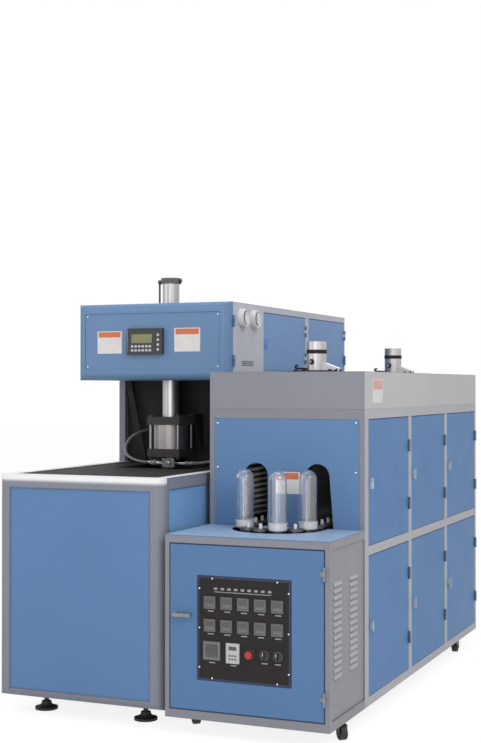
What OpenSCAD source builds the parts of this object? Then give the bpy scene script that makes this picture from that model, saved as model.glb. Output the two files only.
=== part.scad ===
// Blow moulding machine in two units: a press with its mould clamp, and an oven that heats the preforms.
// X runs to the right, Y to the back and Z up. The origin lies on the floor under the middle of both units.

/* [Press] */
// Width of the press over its side panels
press_w = 760; // [740:1:900]
// Depth of the press from its front cover to its rear wall
press_d = 2246; // [2200:1:2500]
// Height of the press frame's underside above the floor
press_floor = 75; // [68:1:110]
// Height of the press deck above the floor
deck_h = 994; // [985:1:1010]
// Distance from the press front back to the column
column_setback = 1055; // [1045:1:1100]
// Side of the square frame tube
press_tube = 50; // [45:1:55]
// Depth of the front surround
surround_d = 62; // [56:1:80]
// Width of the surround beside the front panel
surround_border = 54; // [45:1:70]
// Radius of the surround's outer edges
surround_r = 35; // [20:1:40]
// Distance from the front and sides of the press to its feet
foot_inset = 145; // [120:1:170]
// Radius of a levelling foot
foot_r = 48; // [40:1:55]

/* [Head] */
// Height of the head's underside above the floor
head_floor = 1387; // [1380:1:1400]
// Height of the head's roof above the floor
head_top = 1736; // [1720:1:1780]
// Distance from the press front back to the head door's face
head_setback = 649; // [640:1:670]
// Depth of the hinged front door of the head
head_door_d = 55; // [50:1:60]
// Depth of the recess in that door's face
head_recess = 4; // [2:0.5:8]
// Thickness of the head's sheet walls
head_wall = 3; // [2:0.5:4]
// Length of the grey wall that carries the gauges
gauge_wall = 361; // [350:1:400]
// Radius of a pressure gauge
gauge_r = 41; // [30:1:45]
// Width of the operator panel
operator_w = 180; // [150:1:200]
// Height of the operator panel
operator_h = 118; // [100:1:125]

/* [Stretch and seal] */
// Distance from the press front back to the stretch rod
rod_setback = 855; // [848:1:862]
// Outer diameter of the stretch cylinder
stretch_side = 78; // [72:1:84]
// Bore of the stretch cylinder
stretch_bore = 63; // [50:1:64]
// Height of the stretch cylinder's end cap above the floor
stretch_top = 1862; // [1850:1:1900]
// Side of the sealing cylinder's square end plates
seal_side = 164; // [150:1:170]
// Outer diameter of the sealing cylinder's barrel
seal_barrel = 158; // [140:1:160]
// Height of the sealing cylinder's underside above the deck
seal_rise = 41; // [38:1:46]
// Length of the sealing cylinder's barrel
seal_length = 111; // [100:1:120]
// Thickness of the sealing cylinder's end plates
seal_plate = 36; // [30:1:40]
// Diameter of the stretch rod
rod_d = 14; // [12:0.5:18]
// Diameter of the blow nozzle's hollow piston rod
nozzle_rod_d = 40; // [36:1:44]
// Downward travel of the blow nozzle
nozzle_travel = 25; // [15:1:25]

/* [Mould clamp] */
// Width of a mould half
mould_w = 300; // [290:1:330]
// Thickness of a mould half
mould_t = 110; // [105:1:125]
// Height of a mould half
mould_h = 380; // [370:1:390]
// Depth of the mould's top below the deck's height
mould_drop = 64; // [62:1:69]
// Radius of the jar that the mould forms
jar_r = 80; // [60:1:85]
// Height of the jar that the mould forms
jar_h = 290; // [250:1:300]
// Thickness of a platen
platen_t = 35; // [30:1:45]
// Diameter of a tie bar
tie_d = 45; // [40:1:50]
// Travel of each platen
clamp_travel = 130; // [110:1:140]
// Thickness of a clamp end plate
end_plate_t = 50; // [40:1:60]
// Outer diameter of a clamp cylinder
ram_d = 180; // [160:1:200]
// Length of a clamp cylinder
ram_l = 230; // [220:1:250]
// Diameter of a clamp piston rod
ram_rod_d = 70; // [60:1:80]

/* [Oven] */
// Gap between the press and the oven
unit_gap = 25; // [20:1:60]
// Width of the oven over its frame
oven_w = 683; // [675:1:760]
// Depth of the tall oven body
oven_d = 1932; // [1920:1:2100]
// Underside of the oven frame above the floor
oven_floor = 67; // [65:1:90]
// Height of the oven's roof above the floor
oven_h = 1420; // [1415:1:1425]
// Height of the hood band below the roof
hood_h = 154; // [140:1:160]
// Height of the oven frame's top rail
top_rail_h = 41; // [35:1:45]
// Height of the oven frame's bottom rail
bottom_rail_h = 36; // [32:1:45]
// Top of the oven's middle rail above the floor
mid_rail_top = 712; // [700:1:716]
// Height of the oven's middle rail
mid_rail_h = 40; // [35:1:45]
// Width of the oven's front corner posts
corner_post = 50; // [45:1:55]
// Width of the posts between two doors
mullion = 50; // [45:1:55]
// Width of the oven's rear posts
rear_post = 30; // [28:1:50]
// Depth of the oven frame's tube seen from the side
oven_tube = 40; // [36:1:45]
// Thickness of a hinged door
door_t = 18; // [15:1:22]
// Gap around a hinged door
door_gap = 2; // [1.5:0.5:3]
// Width of an arch where preforms enter or leave
arch_w = 104; // [98:1:110]
// Top of the arches above the floor
arch_top = 1042; // [1035:1:1050]

/* [Step cabinet] */
// Depth of the low cabinet in front of the oven
step_d = 424; // [420:1:450]
// Height of the low cabinet's deck above the floor
step_h = 780; // [778:1:782]
// Height of the frame under the edge of the deck
step_rail = 30; // [28:1:35]
// Width of the cabinet's posts
step_post = 26; // [24:1:30]
// Distance from the front of the low cabinet back to the front of the press
press_setback = 22; // [10:1:40]
// Distance between two louvres
louvre_pitch = 25; // [22:0.5:30]
// Number of louvres in a row
louvre_count = 15; // [10:1:15]
// Length of a louvre
louvre_l = 92; // [70:1:100]
// How far a louvre stands out
louvre_rise = 6; // [4:0.5:8]

/* [Control plate] */
// Width of the black control plate
plate_w = 386; // [380:1:400]
// Height of the black control plate
plate_h = 400; // [395:1:420]
// Thickness of the control plate
plate_t = 2; // [1.5:0.5:3]
// Front size of a panel meter
meter_size = 48; // [44:1:50]
// Distance between two meters in a row
meter_pitch = 70; // [66:1:71]
// Distance between the two rows of meters
meter_rise = 88; // [80:1:90]
// Front size of the timer
timer_size = 72; // [66:1:74]
// How far the switches stand out from the control plate
knob_h = 22; // [18:1:26]
// Travel of the stop button
button_travel = 5; // [3:0.5:5]

/* [Preform carrier] */
// Distance between two links of the carrier chain
link_pitch = 74; // [70:0.5:77]
// Links along each straight run of the chain
straight_links = 23; // [20:1:23]
// Distance from the oven's front back to the first sprocket's axis
sprocket_setback = -66; // [-75:1:-60]
// Radius of a preform's body
preform_r = 36; // [30:0.5:36.5]
// Height of a preform
preform_h = 235; // [200:1:240]
// Wall of a preform
preform_wall = 4; // [3:0.5:5]

/* [Heating] */
// Number of lamps above each other
lamp_count = 10; // [6:1:10]
// Distance between two lamps
lamp_pitch = 24; // [24:0.5:25]
// Length of a lamp between its sockets
lamp_l = 1230; // [1000:1:1300]
// Radius of a lamp
lamp_r = 5; // [4:0.5:6]

/* [Castors and latches] */
// Radius of a castor wheel
wheel_r = 28; // [24:1:29]
// Width of a castor wheel
wheel_w = 24; // [20:1:28]
// Distance from a castor's swivel axis back to its wheel
castor_trail = 24; // [16:1:26]
// How far the side doors' latches stand out
latch_proud = 14; // [12.5:0.5:20]
// Radius of a hinge knuckle
knuckle_r = 5; // [4:0.5:5.5]
// Length of one hinge
hinge_l = 52; // [45:1:60]

/* [Hidden] */
$fn = 64;

// Clearances
seam = 0.3;
run = 0.05;
eps = 1;

// Colours
frame_grey = [0.56, 0.56, 0.58];
panel_blue = [0.35, 0.51, 0.70];
deck_black = [0.10, 0.10, 0.11];
steel = [0.72, 0.72, 0.74];
hose_black = [0.07, 0.07, 0.08];
foot_black = [0.13, 0.13, 0.14];
key_grey = [0.75, 0.76, 0.78];

// Places of the two units
total_w = press_w + unit_gap + oven_w + latch_proud;
total_d = knob_h + plate_t + step_d + oven_d;
px0 = -total_w / 2;
px1 = px0 + press_w;
pxm = (px0 + px1) / 2;
ox0 = px1 + unit_gap;
ox1 = ox0 + oven_w;
oxm = (ox0 + ox1) / 2;
sy0 = -total_d / 2 + knob_h + plate_t;
oy0 = sy0 + step_d;
oy1 = oy0 + oven_d;
py0 = sy0 + press_setback;
py1 = py0 + press_d;
cy0 = py0 + column_setback;
hy0 = py0 + head_setback;
hy1 = hy0 + head_door_d + seam;
ay = py0 + rod_setback;
mould_top = deck_h - mould_drop;
seal_floor = deck_h + seal_rise;

// Sheet parts
tube_wall = 3;
sheet = 2;
panel_recess = 5;

// Fixed sizes of the press
surround_foot = 35;
deck_drop = 4;
deck_t = 8;
well_margin = 60;
well_rim = 12;
bed_leg_y = 280;
bed_x = 130;
bed_w = 80;
column_post = 32;
pillar_gap = 120;
pillar_w = 50;
arm_plate = 8;
brace_w = 32;
brace_foot = 230;
fitting_l = 16;
fitting_wall = 3;
brace_t = 6;
clamp_clear = 20;
platen_edge = 20;
tie_gap = 6;
guide_inset = 25;
ram_lug = 10;
tie_nut = 30;
ram_flange = 25;
ram_wall = 15;
piston_t = 30;
piston_in = 35;
rod_flange = 16;
neck_r = 36;
neck_h = 30;
jar_corner = 20;
water_depth = 60;
water_r = 6;
pin_out = 20;
guide_pin_r = 8;

// Fixed sizes of the stretch and seal unit
seal_wall = 15;
seal_bolt = seal_side / 2 - 12;
seal_nut = 10;
seal_drop = 76;
cross_drop = 30;
cross_side = 62;
bell_r = 42;
bell_rim = 6;
bell_h = 26;
port_l = 82;
port_reach = cross_side / 2 + port_l;
nut_l = 34;
hose_r = 7;
air_gap = 3;
port_z = seal_floor - cross_drop;
hose_end_y = cy0 + column_post - fitting_l - seam;
left_end = [pxm - 202, hose_end_y, port_z + 147];
right_end = [pxm + 201, hose_end_y, port_z + 131];
left_bends = [[-163, 2, 3], [-210, 11, 14], [-250, 30, 37], [-267, 58, 72], [-257, 90, 109],
    [-232, 124, 133], [-209, 167, 144]];
right_bends = [[161, 2, 3], [206, 11, 12], [245, 29, 32], [264, 60, 61], [259, 96, 91], [239, 133, 112],
    [214, 171, 126]];
cap_h = 26;
cap_step = 8;
cap_turn = 22.5;
knob_l = 6;
knob_r = 9;
elbow_out = 20;
line_r = 4.5;
port_r = 6;

// Fixed sizes of the head
head_rail = 30;
head_sill = 45;
head_lintel = 31;
head_stile = 14;
head_door_l = (py1 - head_stile - mullion - hy1 - gauge_wall) / 2;
recess_side = 39;
recess_foot = 50;
recess_head = 45;
operator_left = 116;
operator_rise = 116;
operator_proud = 20;
operator_rim = 6;
operator_sunk = 2;
screen_place = [24, 52];
screen_w = 104;
screen_h = 40;
key_place = [22, 14];
key_columns = 6;
key_pitch = 18;
key_w = 12;
key_h = 10;
key_rise = 1;
key_margin = 22;
button_pitch = 22;
gauge_z = 1668;
gauge_first = 90;
gauge_pitch = 137;
gauge_places = [hy1 + gauge_first, hy1 + gauge_first + gauge_pitch];
gauge_depth = 28;
gauge_turn = -35;
gauge_sunk = 3;
gauge_rim = 4;
hand_w = 3;
hand_tail = 8;
vent_inset = 100;
vent_columns = 14;
vent_rows = 3;
vent_pitch = 10;
vent_rise = 22;

// Fixed sizes of the hinges and latches
hinge_out = knuckle_r + 1.2;
pin_r = 2.5;
knuckle_l = (hinge_l - 2 * seam) / 3;
leaf_w = 16;
leaf_t = 1.8;
hinge_inset = 60;
hinge_share = 0.25;
door_lip = 2;
door_rib = 12;
latch_base = 5;
latch_rose_r = 13;
latch_lever_w = 14;
latch_lever_h = 44;
latch_inset = 20;
latch_grip = 22;
latch_lever_l = 70;
latch_pin_r = 6;
latch_cam_l = 34;
latch_cam_w = 18;
latch_lever_t = 8;
rose_t = 4;

// Fixed sizes of the oven and the step cabinet
front_border = 21.5;
front_sunk = 1;
axis_x = oxm - 3.5;
arch_x = [axis_x - 127.5, axis_x + 143];
arch_slope = 17;
table_z = 716;
table_t = 4;
deck_sheet = 3;
door_latch_z = [388, 965];
step_door_z = [105, 744];
slot_half = 47;
island_l = 100;
island_post_x = 60;
island_post_r = 8;
step_rail_z = step_h - deck_sheet - seam - step_rail;
louvre_y = [sy0 + 150, sy0 + 340];
louvre_z = 253;
louvre_end = 3;
caster_in = 32;
caster_front = 224;
caster_rear = 352;
caster_front_y = oy0 - caster_front;
caster_rear_y = oy1 - caster_rear;
caster_turn = [-45, -45, 90, 90];
swivel_r = 22;
swivel_t = 5;
swivel_plate = 3;
swivel_foot = 28;
axle_r = 5;
axle_l = wheel_w + 16;
tread_dish = 3;
fork_gap = 2;
fork_t = 4;
fork_back = 16;
fork_end = 10;

// Fixed sizes of the control plate
plate_x = oxm - 7;
plate_z = 225;
meter_row_z = 212;
timer_place = [-131, 115];
keypad_place = [-43, 111];
keypad_size = [55, 77];
control_places = [28, 87, 142];
control_z = 112;
bezel_t = 6;
bezel_lip = 4;
bezel_rim = 10;
window_sunk = 1.5;
case_d = 60;
stem_r = 8;
stem_l = 30;
stem_front = 4;
grip_w = 7;
button_r = 14.5;
selector_r = 16;
latch_x = ox0 + 48;
latch_z = 471;

// Fixed sizes of the preform carrier
lobes = 12;
lobe_turn = 360 / lobes;
chain_phase = 5;
sprocket_r = link_pitch / 2 / sin(lobe_turn / 2);
chain_z = 741;
link_h = 18;
link_r = 12;
link_pin_r = 5;
roller_r = 9;
roller_h = 12;
sprocket_gap = 1;
tooth_tip = 2;
hub_over = 8;
shaft_over = 30;
bearing_r = 17;
bearing_h = 24;
spindle_r = 8;
shaft_r = 15;
head_r = 20;
preform_z = 788;
plug_h = 5;
mandrel_r = 7;
mandrel_h = 24;
loaded_links = [0, 3, 5];
spindle_ring = 4;
neck_thread = [6, 12, 18];
thread_out = 1.2;
ring_z = 26;
ring_out = 3.5;
ring_t = 3.5;

// Fixed sizes of the heating and the blowers
lamp_reach = 75;
lamp_low = 812;
bank_setback = 70;
socket_l = 35;
socket_r = 8;
rack_w = 34;
rack_t = 8;
blower_r = 43;
blower_h = 135;
blower_base = 88;
blower_base_t = 9;
blower_foot = 60;
band_z = 82;
band_h = 17;
band_out = 1.5;
chute_l = 62;
chute_w = 50;
motor_side = 120;
motor_box_h = 130;
motor_r = 55;
motor_h = 200;
motor_rib = 8;
motor_cap_r = 60;
motor_cap_h = 15;
blower_places = [-364, 799];

// Solid block between two corners
module block(from, to) {
    translate(from) cube(to - from);
}

// Square or oblong tube between two corners, open at its ends along x, y or z (0, 1 or 2)
module tube_bar(from, to, axis) {
    size = to - from;
    inner = [for (i = [0:2]) i == axis ? size[i] + 2 * eps : size[i] - 2 * tube_wall];
    shift = [for (i = [0:2]) i == axis ? -eps : tube_wall];
    difference() {
        translate(from) cube(size);
        translate(from + shift) cube(inner);
    }
}

// Rectangle with all four corners rounded
module rounded_rect(size, r) {
    translate([r, 0]) square([size[0] - 2 * r, size[1]]);
    translate([0, r]) square([size[0], size[1] - 2 * r]);
    for (x = [r, size[0] - r], y = [r, size[1] - r]) translate([x, y]) circle(r);
}

// Rectangle rounded at the two corners on its low y side
module front_rounded(size, r) {
    translate([r, 0]) square([size[0] - 2 * r, size[1]]);
    translate([0, r]) square([size[0], size[1] - r]);
    for (x = [r, size[0] - r]) translate([x, r]) circle(r);
}

// Rectangle rounded at the two corners on its low x side
module side_rounded(size, r) {
    translate([r, 0]) square([size[0] - r, size[1]]);
    translate([0, r]) square([size[0], size[1] - 2 * r]);
    for (y = [r, size[1] - r]) translate([r, y]) circle(r);
}

// Block whose outer front edges are all rounded, as on the press and head fronts
module soft_front(from, to, r) {
    size = to - from;
    translate(from) intersection() {
        linear_extrude(size[2]) front_rounded([size[0], size[1]], r);
        rotate([90, 0, 90]) linear_extrude(size[0]) side_rounded([size[1], size[2]], r);
    }
}

// Cylinder along x, y or z (0, 1 or 2) from a start point
module rod_along(axis, from, length, r) {
    turn = axis == 0 ? [0, 90, 0] : axis == 1 ? [-90, 0, 0] : [0, 0, 0];
    translate(from) rotate(turn) cylinder(r = r, h = length);
}

// The children and their mirror image about the mould's parting plane
module both_halves() {
    children();
    translate([0, 2 * ay, 0]) mirror([0, 1, 0]) children();
}

// Hinges. Each is drawn about its pin on the z axis, with the sheet's face at -y.

// Leaf that lies on the sheet towards +x, with its web up to the barrel
module hinge_leaf(length, width) {
    translate([seam, -hinge_out, 0]) cube([width - seam, leaf_t, length]);
    translate([seam, -hinge_out, 0]) cube([knuckle_r * 0.6, hinge_out - pin_r, length]);
}

// Middle knuckle, for the side that moves
module moving_knuckle() {
    translate([0, 0, knuckle_l + seam]) difference() {
        union() {
            cylinder(r = knuckle_r, h = knuckle_l);
            hinge_leaf(knuckle_l, leaf_w);
        }
        translate([0, 0, -eps]) cylinder(r = pin_r + run, h = knuckle_l + 2 * eps);
    }
}

// Two outer knuckles with the pin, for the side that stands still
module fixed_knuckles(width) {
    cylinder(r = pin_r, h = hinge_l);
    for (z = [0, 2 * (knuckle_l + seam)]) translate([0, 0, z]) {
        cylinder(r = knuckle_r, h = knuckle_l);
        hinge_leaf(knuckle_l, width);
    }
}

// Hinge places: on a face that looks to the right, or to the front, with +x of the hinge turned
// to the back, or to the right
module on_right(x, y, z) {
    translate([x + hinge_out, y, z]) rotate(-90) mirror([1, 0, 0]) children();
}
module on_front(x, y, z) {
    translate([x, y - hinge_out, z]) mirror([0, 1, 0]) children();
}

// Quarter-turn latch on a face that looks to the right
module side_latch(x, y, z) {
    rod_along(0, [x, y, z], latch_base, latch_rose_r);
    block([x, y - latch_lever_w / 2, z - latch_lever_h / 2],
        [x + latch_proud, y + latch_lever_w / 2, z + latch_lever_h / 2]);
}

// Hinged door in a face that looks to the right, with its hinges on the far edge
module side_door(x, y0, y1, z0, z1, latch_z) {
    difference() {
        block([x - door_t, y0, z0], [x, y1, z1]);
        block([x - door_t - eps, y0 + door_lip, z0 + door_lip],
            [x - door_t + door_lip, y1 - door_lip, z1 - door_lip]);
    }
    for (z = side_hinges(z0 - door_gap, z1 + door_gap))
        on_right(x, y1 + door_gap / 2, z) mirror([1, 0, 0]) moving_knuckle();
    side_latch(x, y0 + latch_inset, latch_z);
}

// Lower ends of the two hinges of a front door, and of a side door
function hinge_heights(z0, z1) = [z0 + hinge_inset, z1 - hinge_inset - hinge_l];
function side_hinges(z0, z1) = [for (share = [hinge_share, 1 - hinge_share])
    z0 + share * (z1 - z0) - hinge_l / 2];

// Press

// One mitred bar of the surround, cut from the rounded front by its outline in x and z
module surround_bar(outline) {
    intersection() {
        soft_front([px0, py0, press_floor], [px1, py0 + surround_d, deck_h], surround_r);
        translate([0, py0 + surround_d + eps, 0]) rotate([90, 0, 0])
            linear_extrude(surround_d + 2 * eps) polygon(outline);
    }
}

module front_surround() {
    x0 = px0 + surround_border;
    x1 = px1 - surround_border;
    z0 = press_floor + surround_foot;
    z1 = deck_h - surround_border;
    surround_bar([[px0, press_floor], [x0, z0], [x0, z1], [px0, deck_h]]);
    surround_bar([[px1, press_floor], [x1, z0], [x1, z1], [px1, deck_h]]);
    surround_bar([[px0 + seam, deck_h], [px1 - seam, deck_h], [x1 - seam, z1], [x0 + seam, z1]]);
    surround_bar([[px0 + seam, press_floor], [px1 - seam, press_floor], [x1 - seam, z0], [x0 + seam, z0]]);
}

module press_frame() color(frame_grey) {
    t = press_tube;
    front_surround();
    for (x = [px0, px1 - t]) {
        tube_bar([x, py0 + surround_d + seam, press_floor], [x + t, py1 - t - seam, press_floor + t], 1);
        tube_bar([x, py0 + surround_d + seam, deck_h - t], [x + t, py1 - t - seam, deck_h], 1);
        tube_bar([x, cy0, press_floor + t + seam], [x + t, cy0 + t, deck_h - t - seam], 2);
        tube_bar([x, py1 - t, press_floor], [x + t, py1, deck_h], 2);
    }
    for (z = [press_floor, deck_h - t])
        tube_bar([px0 + t + seam, py1 - t, z], [px1 - t - seam, py1, z + t], 0);
    for (y = [py0 + foot_inset, ay - bed_leg_y, ay + bed_leg_y, py1 - foot_inset])
        tube_bar([px0 + t + seam, y - t / 2, press_floor], [px1 - t - seam, y + t / 2, press_floor + t], 0);
}

// Flat panel in the side of a frame, with its outer face towards x or -x
module side_panel(face, dir, y0, y1, z0, z1) {
    x = face - dir * panel_recess;
    block([min(x, x - dir * sheet), y0 + seam, z0 + seam], [max(x, x - dir * sheet), y1 - seam, z1 - seam]);
}

module press_panels() color(panel_blue) {
    t = press_tube;
    x0 = px0 + surround_border + seam;
    x1 = px1 - surround_border - seam;
    block([x0, py0 + panel_recess, press_floor + surround_foot + seam],
        [x1, py0 + panel_recess + sheet, deck_h - surround_border - seam]);
    for (side = [[px0, -1], [px1, 1]]) {
        side_panel(side[0], side[1], py0 + surround_d, cy0, press_floor + t, deck_h - t);
        side_panel(side[0], side[1], cy0 + t, py1 - t, press_floor + t, deck_h - t);
        side_panel(side[0], side[1], cy0 + column_post, py1 - column_post, deck_h, head_floor);
    }
    block([px0 + t + seam, py1 - panel_recess - sheet, press_floor + t + seam],
        [px1 - t - seam, py1 - panel_recess, deck_h - t - seam]);
    block([px0 + column_post + seam, py1 - panel_recess - sheet, deck_h + seam],
        [px1 - column_post - seam, py1 - panel_recess, head_floor - seam]);
}

module press_deck() color(deck_black) {
    t = press_tube;
    z1 = deck_h - deck_drop;
    z0 = z1 - deck_t;
    w = mould_w + well_margin;
    l = 2 * (mould_t + clamp_travel) - well_margin;
    difference() {
        union() {
            block([px0 + t + seam, py0 + surround_d + seam, z0], [px1 - t - seam, py1 - t - seam, z1]);
            block([pxm - w / 2 - well_rim, ay - l / 2 - well_rim, z0 - well_rim],
                [pxm + w / 2 + well_rim, ay + l / 2 + well_rim, z0 + eps]);
        }
        block([pxm - w / 2, ay - l / 2, z0 - well_rim - eps], [pxm + w / 2, ay + l / 2, z1 + eps]);
    }
}

// Levelling foot: a bell-shaped base on a threaded stud with a lock nut
module levelling_foot() {
    base_h = 10;
    flare_h = 34;
    nut_h = 12;
    stud_r = 10;
    lip = 4;
    rotate_extrude() {
        square([foot_r, base_h]);
        difference() {
            translate([0, base_h - seam]) square([foot_r - lip, flare_h - base_h]);
            translate([foot_r - lip, flare_h]) circle(flare_h - base_h);
        }
        square([stud_r, press_floor - seam]);
    }
    translate([0, 0, press_floor - seam - nut_h]) cylinder(r = stud_r * 1.8, h = nut_h, $fn = 6);
}

module levelling_feet() color(foot_black) {
    for (x = [px0 + foot_inset, px1 - foot_inset], y = [py0 + foot_inset, py1 - foot_inset])
        translate([x, y, 0]) levelling_foot();
}

// Column behind the mould, open to the front as far as its black partition
module column_frame() color(frame_grey) {
    p = column_post;
    z0 = deck_h + seam;
    z1 = head_floor - seam;
    for (x = [px0, px1 - p], y = [cy0, py1 - p]) tube_bar([x, y, z0], [x + p, y + p, z1], 2);
    color(deck_black) block([px0 + p + seam, cy0 + p, z0], [px1 - p - seam, cy0 + p + sheet, z1]);
    for (x = [pxm - pillar_gap / 2 - pillar_w, pxm + pillar_gap / 2])
        tube_bar([x, cy0 + p - pillar_w - seam, z0], [x + pillar_w, cy0 + p - seam, z1], 2);
    arm_y0 = ay + seal_side / 2 + seam;
    arm_y1 = cy0 + p - pillar_w - 2 * seam;
    for (x = [pxm - seal_side / 2, pxm + seal_side / 2 - arm_plate])
        translate([x, 0, 0]) rotate([90, 0, 90]) linear_extrude(arm_plate)
            polygon([[arm_y0, seal_top], [arm_y0, seal_top - seal_plate], [arm_y1, seal_floor],
                [arm_y1, seal_top]]);
    block([pxm - seal_side / 2, arm_y0, seal_top + seam],
        [pxm + seal_side / 2, arm_y1, seal_top + seam + arm_plate]);
    brace_top = press_w / 2 - p - seam;
    for (side = [-1, 1]) translate([pxm, cy0 + brace_t, 0]) rotate([90, 0, 0]) linear_extrude(brace_t)
        polygon([for (q = [[brace_foot, z0], [brace_foot + brace_w, z0], [brace_top, z1],
            [brace_top - brace_w, z1]])
            [side * q[0], q[1]]]);
    for (p = [left_end, right_end]) rod_along(1, p + [0, seam, 0], fitting_l + eps, hose_r + fitting_wall);
}

// Mould clamp: tie bars between two end plates on a bed, with a ram behind each platen
platen_y0 = ay - seam / 2 - mould_t - platen_t;
end_y0 = platen_y0 - clamp_travel - clamp_clear;
platen_w = mould_w + 2 * (tie_d + platen_edge);
platen_h = mould_h + 3 * platen_edge;
clamp_z = mould_top - mould_h / 2;
end_w = platen_w + 2 * platen_edge;
end_h = platen_h + 2 * platen_edge;
tie_x = mould_w / 2 + tie_d / 2 + tie_gap;
tie_z = platen_h / 2 - tie_d;

// Holes for the four tie bars through a plate in front of the parting plane
module tie_holes(y, depth, r) {
    for (x = [-tie_x, tie_x], z = [-tie_z, tie_z])
        rod_along(1, [pxm + x, y - eps, clamp_z + z], depth + 2 * eps, r);
}

module clamp_frame() color([0.30, 0.32, 0.35]) {
    y1 = end_y0;
    y0 = y1 - end_plate_t;
    both_halves() {
        difference() {
            block([pxm - end_w / 2, y0, clamp_z - end_h / 2], [pxm + end_w / 2, y1, clamp_z + end_h / 2]);
            tie_holes(y0, end_plate_t, tie_d / 2 + run);
            rod_along(1, [pxm, y0 - eps, clamp_z], end_plate_t + 2 * eps, ram_rod_d / 2 + run);
        }
        difference() {
            union() {
                block([pxm - ram_d / 2 - ram_lug, y0 - seam - ram_flange, clamp_z - ram_d / 2 - ram_lug],
                    [pxm + ram_d / 2 + ram_lug, y0 - seam, clamp_z + ram_d / 2 + ram_lug]);
                rod_along(1, [pxm, y0 - seam - ram_l, clamp_z], ram_l, ram_d / 2);
            }
            rod_along(1, [pxm, y0 - seam - ram_l + ram_flange, clamp_z], ram_l, ram_d / 2 - ram_wall);
        }
        for (x = [-1, 1]) tube_bar([pxm + x * bed_x - bed_w / 2, ay - bed_leg_y - bed_w / 2,
            press_floor + press_tube + seam],
            [pxm + x * bed_x + bed_w / 2, ay - bed_leg_y + bed_w / 2,
                clamp_z - end_h / 2 - bed_w - 2 * seam], 2);
    }
    for (x = [-tie_x, tie_x], z = [-tie_z, tie_z]) {
        nut_y0 = y0 - seam - tie_nut;
        l = 2 * (ay - nut_y0);
        rod_along(1, [pxm + x, nut_y0, clamp_z + z], l, tie_d / 2);
        for (y = [nut_y0, nut_y0 + l - tie_nut])
            translate([pxm + x, y, clamp_z + z]) rotate([-90, 0, 0])
                cylinder(r = tie_d * 0.8, h = tie_nut, $fn = 6);
    }
    for (x = [-1, 1]) tube_bar([pxm + x * bed_x - bed_w / 2, y0, clamp_z - end_h / 2 - bed_w - seam],
        [pxm + x * bed_x + bed_w / 2, 2 * ay - y0, clamp_z - end_h / 2 - seam], 1);
}

// Platen in front of the mould with its piston rod, piston and flange
module platen() color([0.42, 0.44, 0.47]) {
    difference() {
        block([pxm - platen_w / 2, platen_y0, clamp_z - platen_h / 2],
            [pxm + platen_w / 2, platen_y0 + platen_t, clamp_z + platen_h / 2]);
        tie_holes(platen_y0, platen_t, tie_d / 2 + run);
    }
    rod_l = clamp_travel + clamp_clear + end_plate_t + seam + piston_in;
    rod_along(1, [pxm, platen_y0 - rod_l, clamp_z], rod_l, ram_rod_d / 2);
    rod_along(1, [pxm, platen_y0 - rod_flange, clamp_z], rod_flange, ram_rod_d * 0.8);
    rod_along(1, [pxm, platen_y0 - rod_l, clamp_z], piston_t, ram_d / 2 - ram_wall - run);
}

// Jar shape, standing on z = 0 with its neck up
module jar_shape() {
    rotate_extrude() intersection() {
        union() {
            translate([-jar_r, 0]) rounded_rect([2 * jar_r, jar_h - neck_h], jar_corner);
            translate([-neck_r, 0]) square([2 * neck_r, jar_h + eps]);
        }
        square([jar_r, jar_h + eps]);
    }
}

// Mould half in front of the parting plane
module mould_half() color(steel) {
    difference() {
        block([pxm - mould_w / 2, ay - seam / 2 - mould_t, mould_top - mould_h],
            [pxm + mould_w / 2, ay - seam / 2, mould_top]);
        translate([pxm, ay, mould_top - jar_h]) jar_shape();
        for (x = [-1, 1], z = [0.2, 0.5, 0.8])
            rod_along(0, [pxm + x * mould_w / 2 - (x > 0 ? water_depth : eps), ay - mould_t * 0.75,
                mould_top - mould_h * z],
                water_depth + eps, water_r);
    }
}

// Guide pins on the front mould half and their holes in the rear one
module guide_pins(y, length, r) {
    for (x = [-1, 1], z = [0.08, 0.92])
        rod_along(1, [pxm + x * (mould_w / 2 - guide_inset), y, mould_top - mould_h * z], length, r);
}

module platen_front() platen();
module platen_rear() translate([0, 2 * ay, 0]) mirror([0, 1, 0]) platen();
module mould_front() {
    mould_half();
    color(steel) guide_pins(ay - seam / 2 - eps, pin_out + eps, guide_pin_r);
}
module mould_rear() difference() {
    translate([0, 2 * ay, 0]) mirror([0, 1, 0]) mould_half();
    guide_pins(ay, pin_out + eps, guide_pin_r + run);
}

// Stretch rod, blow nozzle and their cylinders, on one upright axis

seal_top = seal_floor + 2 * seal_plate + seal_length;

// Square plate or block about the rod's axis
module axis_block(side, z0, z1) {
    block([pxm - side / 2, ay - side / 2, z0], [pxm + side / 2, ay + side / 2, z1]);
}

// Hollow or solid cylinder about the rod's axis
module axis_rod(r, z0, z1) {
    rod_along(2, [pxm, ay, z0], z1 - z0, r);
}

module sealing_cylinder() color(steel) {
    color(deck_black) for (z = [seal_floor, seal_top - seal_plate]) difference() {
        axis_block(seal_side, z, z + seal_plate);
        axis_rod(nozzle_rod_d / 2 + run, z - eps, z + seal_plate + eps);
    }
    difference() {
        axis_rod(seal_barrel / 2, seal_floor + seal_plate, seal_top - seal_plate);
        axis_rod(seal_barrel / 2 - seal_wall, seal_floor + seal_plate - eps, seal_top - seal_plate + eps);
    }
    for (x = [-1, 1], y = [-1, 1]) translate([pxm + x * seal_bolt, ay + y * seal_bolt, 0]) {
        translate([0, 0, seal_floor - seal_nut]) cylinder(r = seal_nut, h = seal_nut, $fn = 6);
        translate([0, 0, seal_top]) cylinder(r = seal_nut, h = seal_nut, $fn = 6);
        translate([0, 0, seal_floor + seal_plate]) cylinder(r = seal_nut * 0.6, h = seal_length);
    }
}

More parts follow.
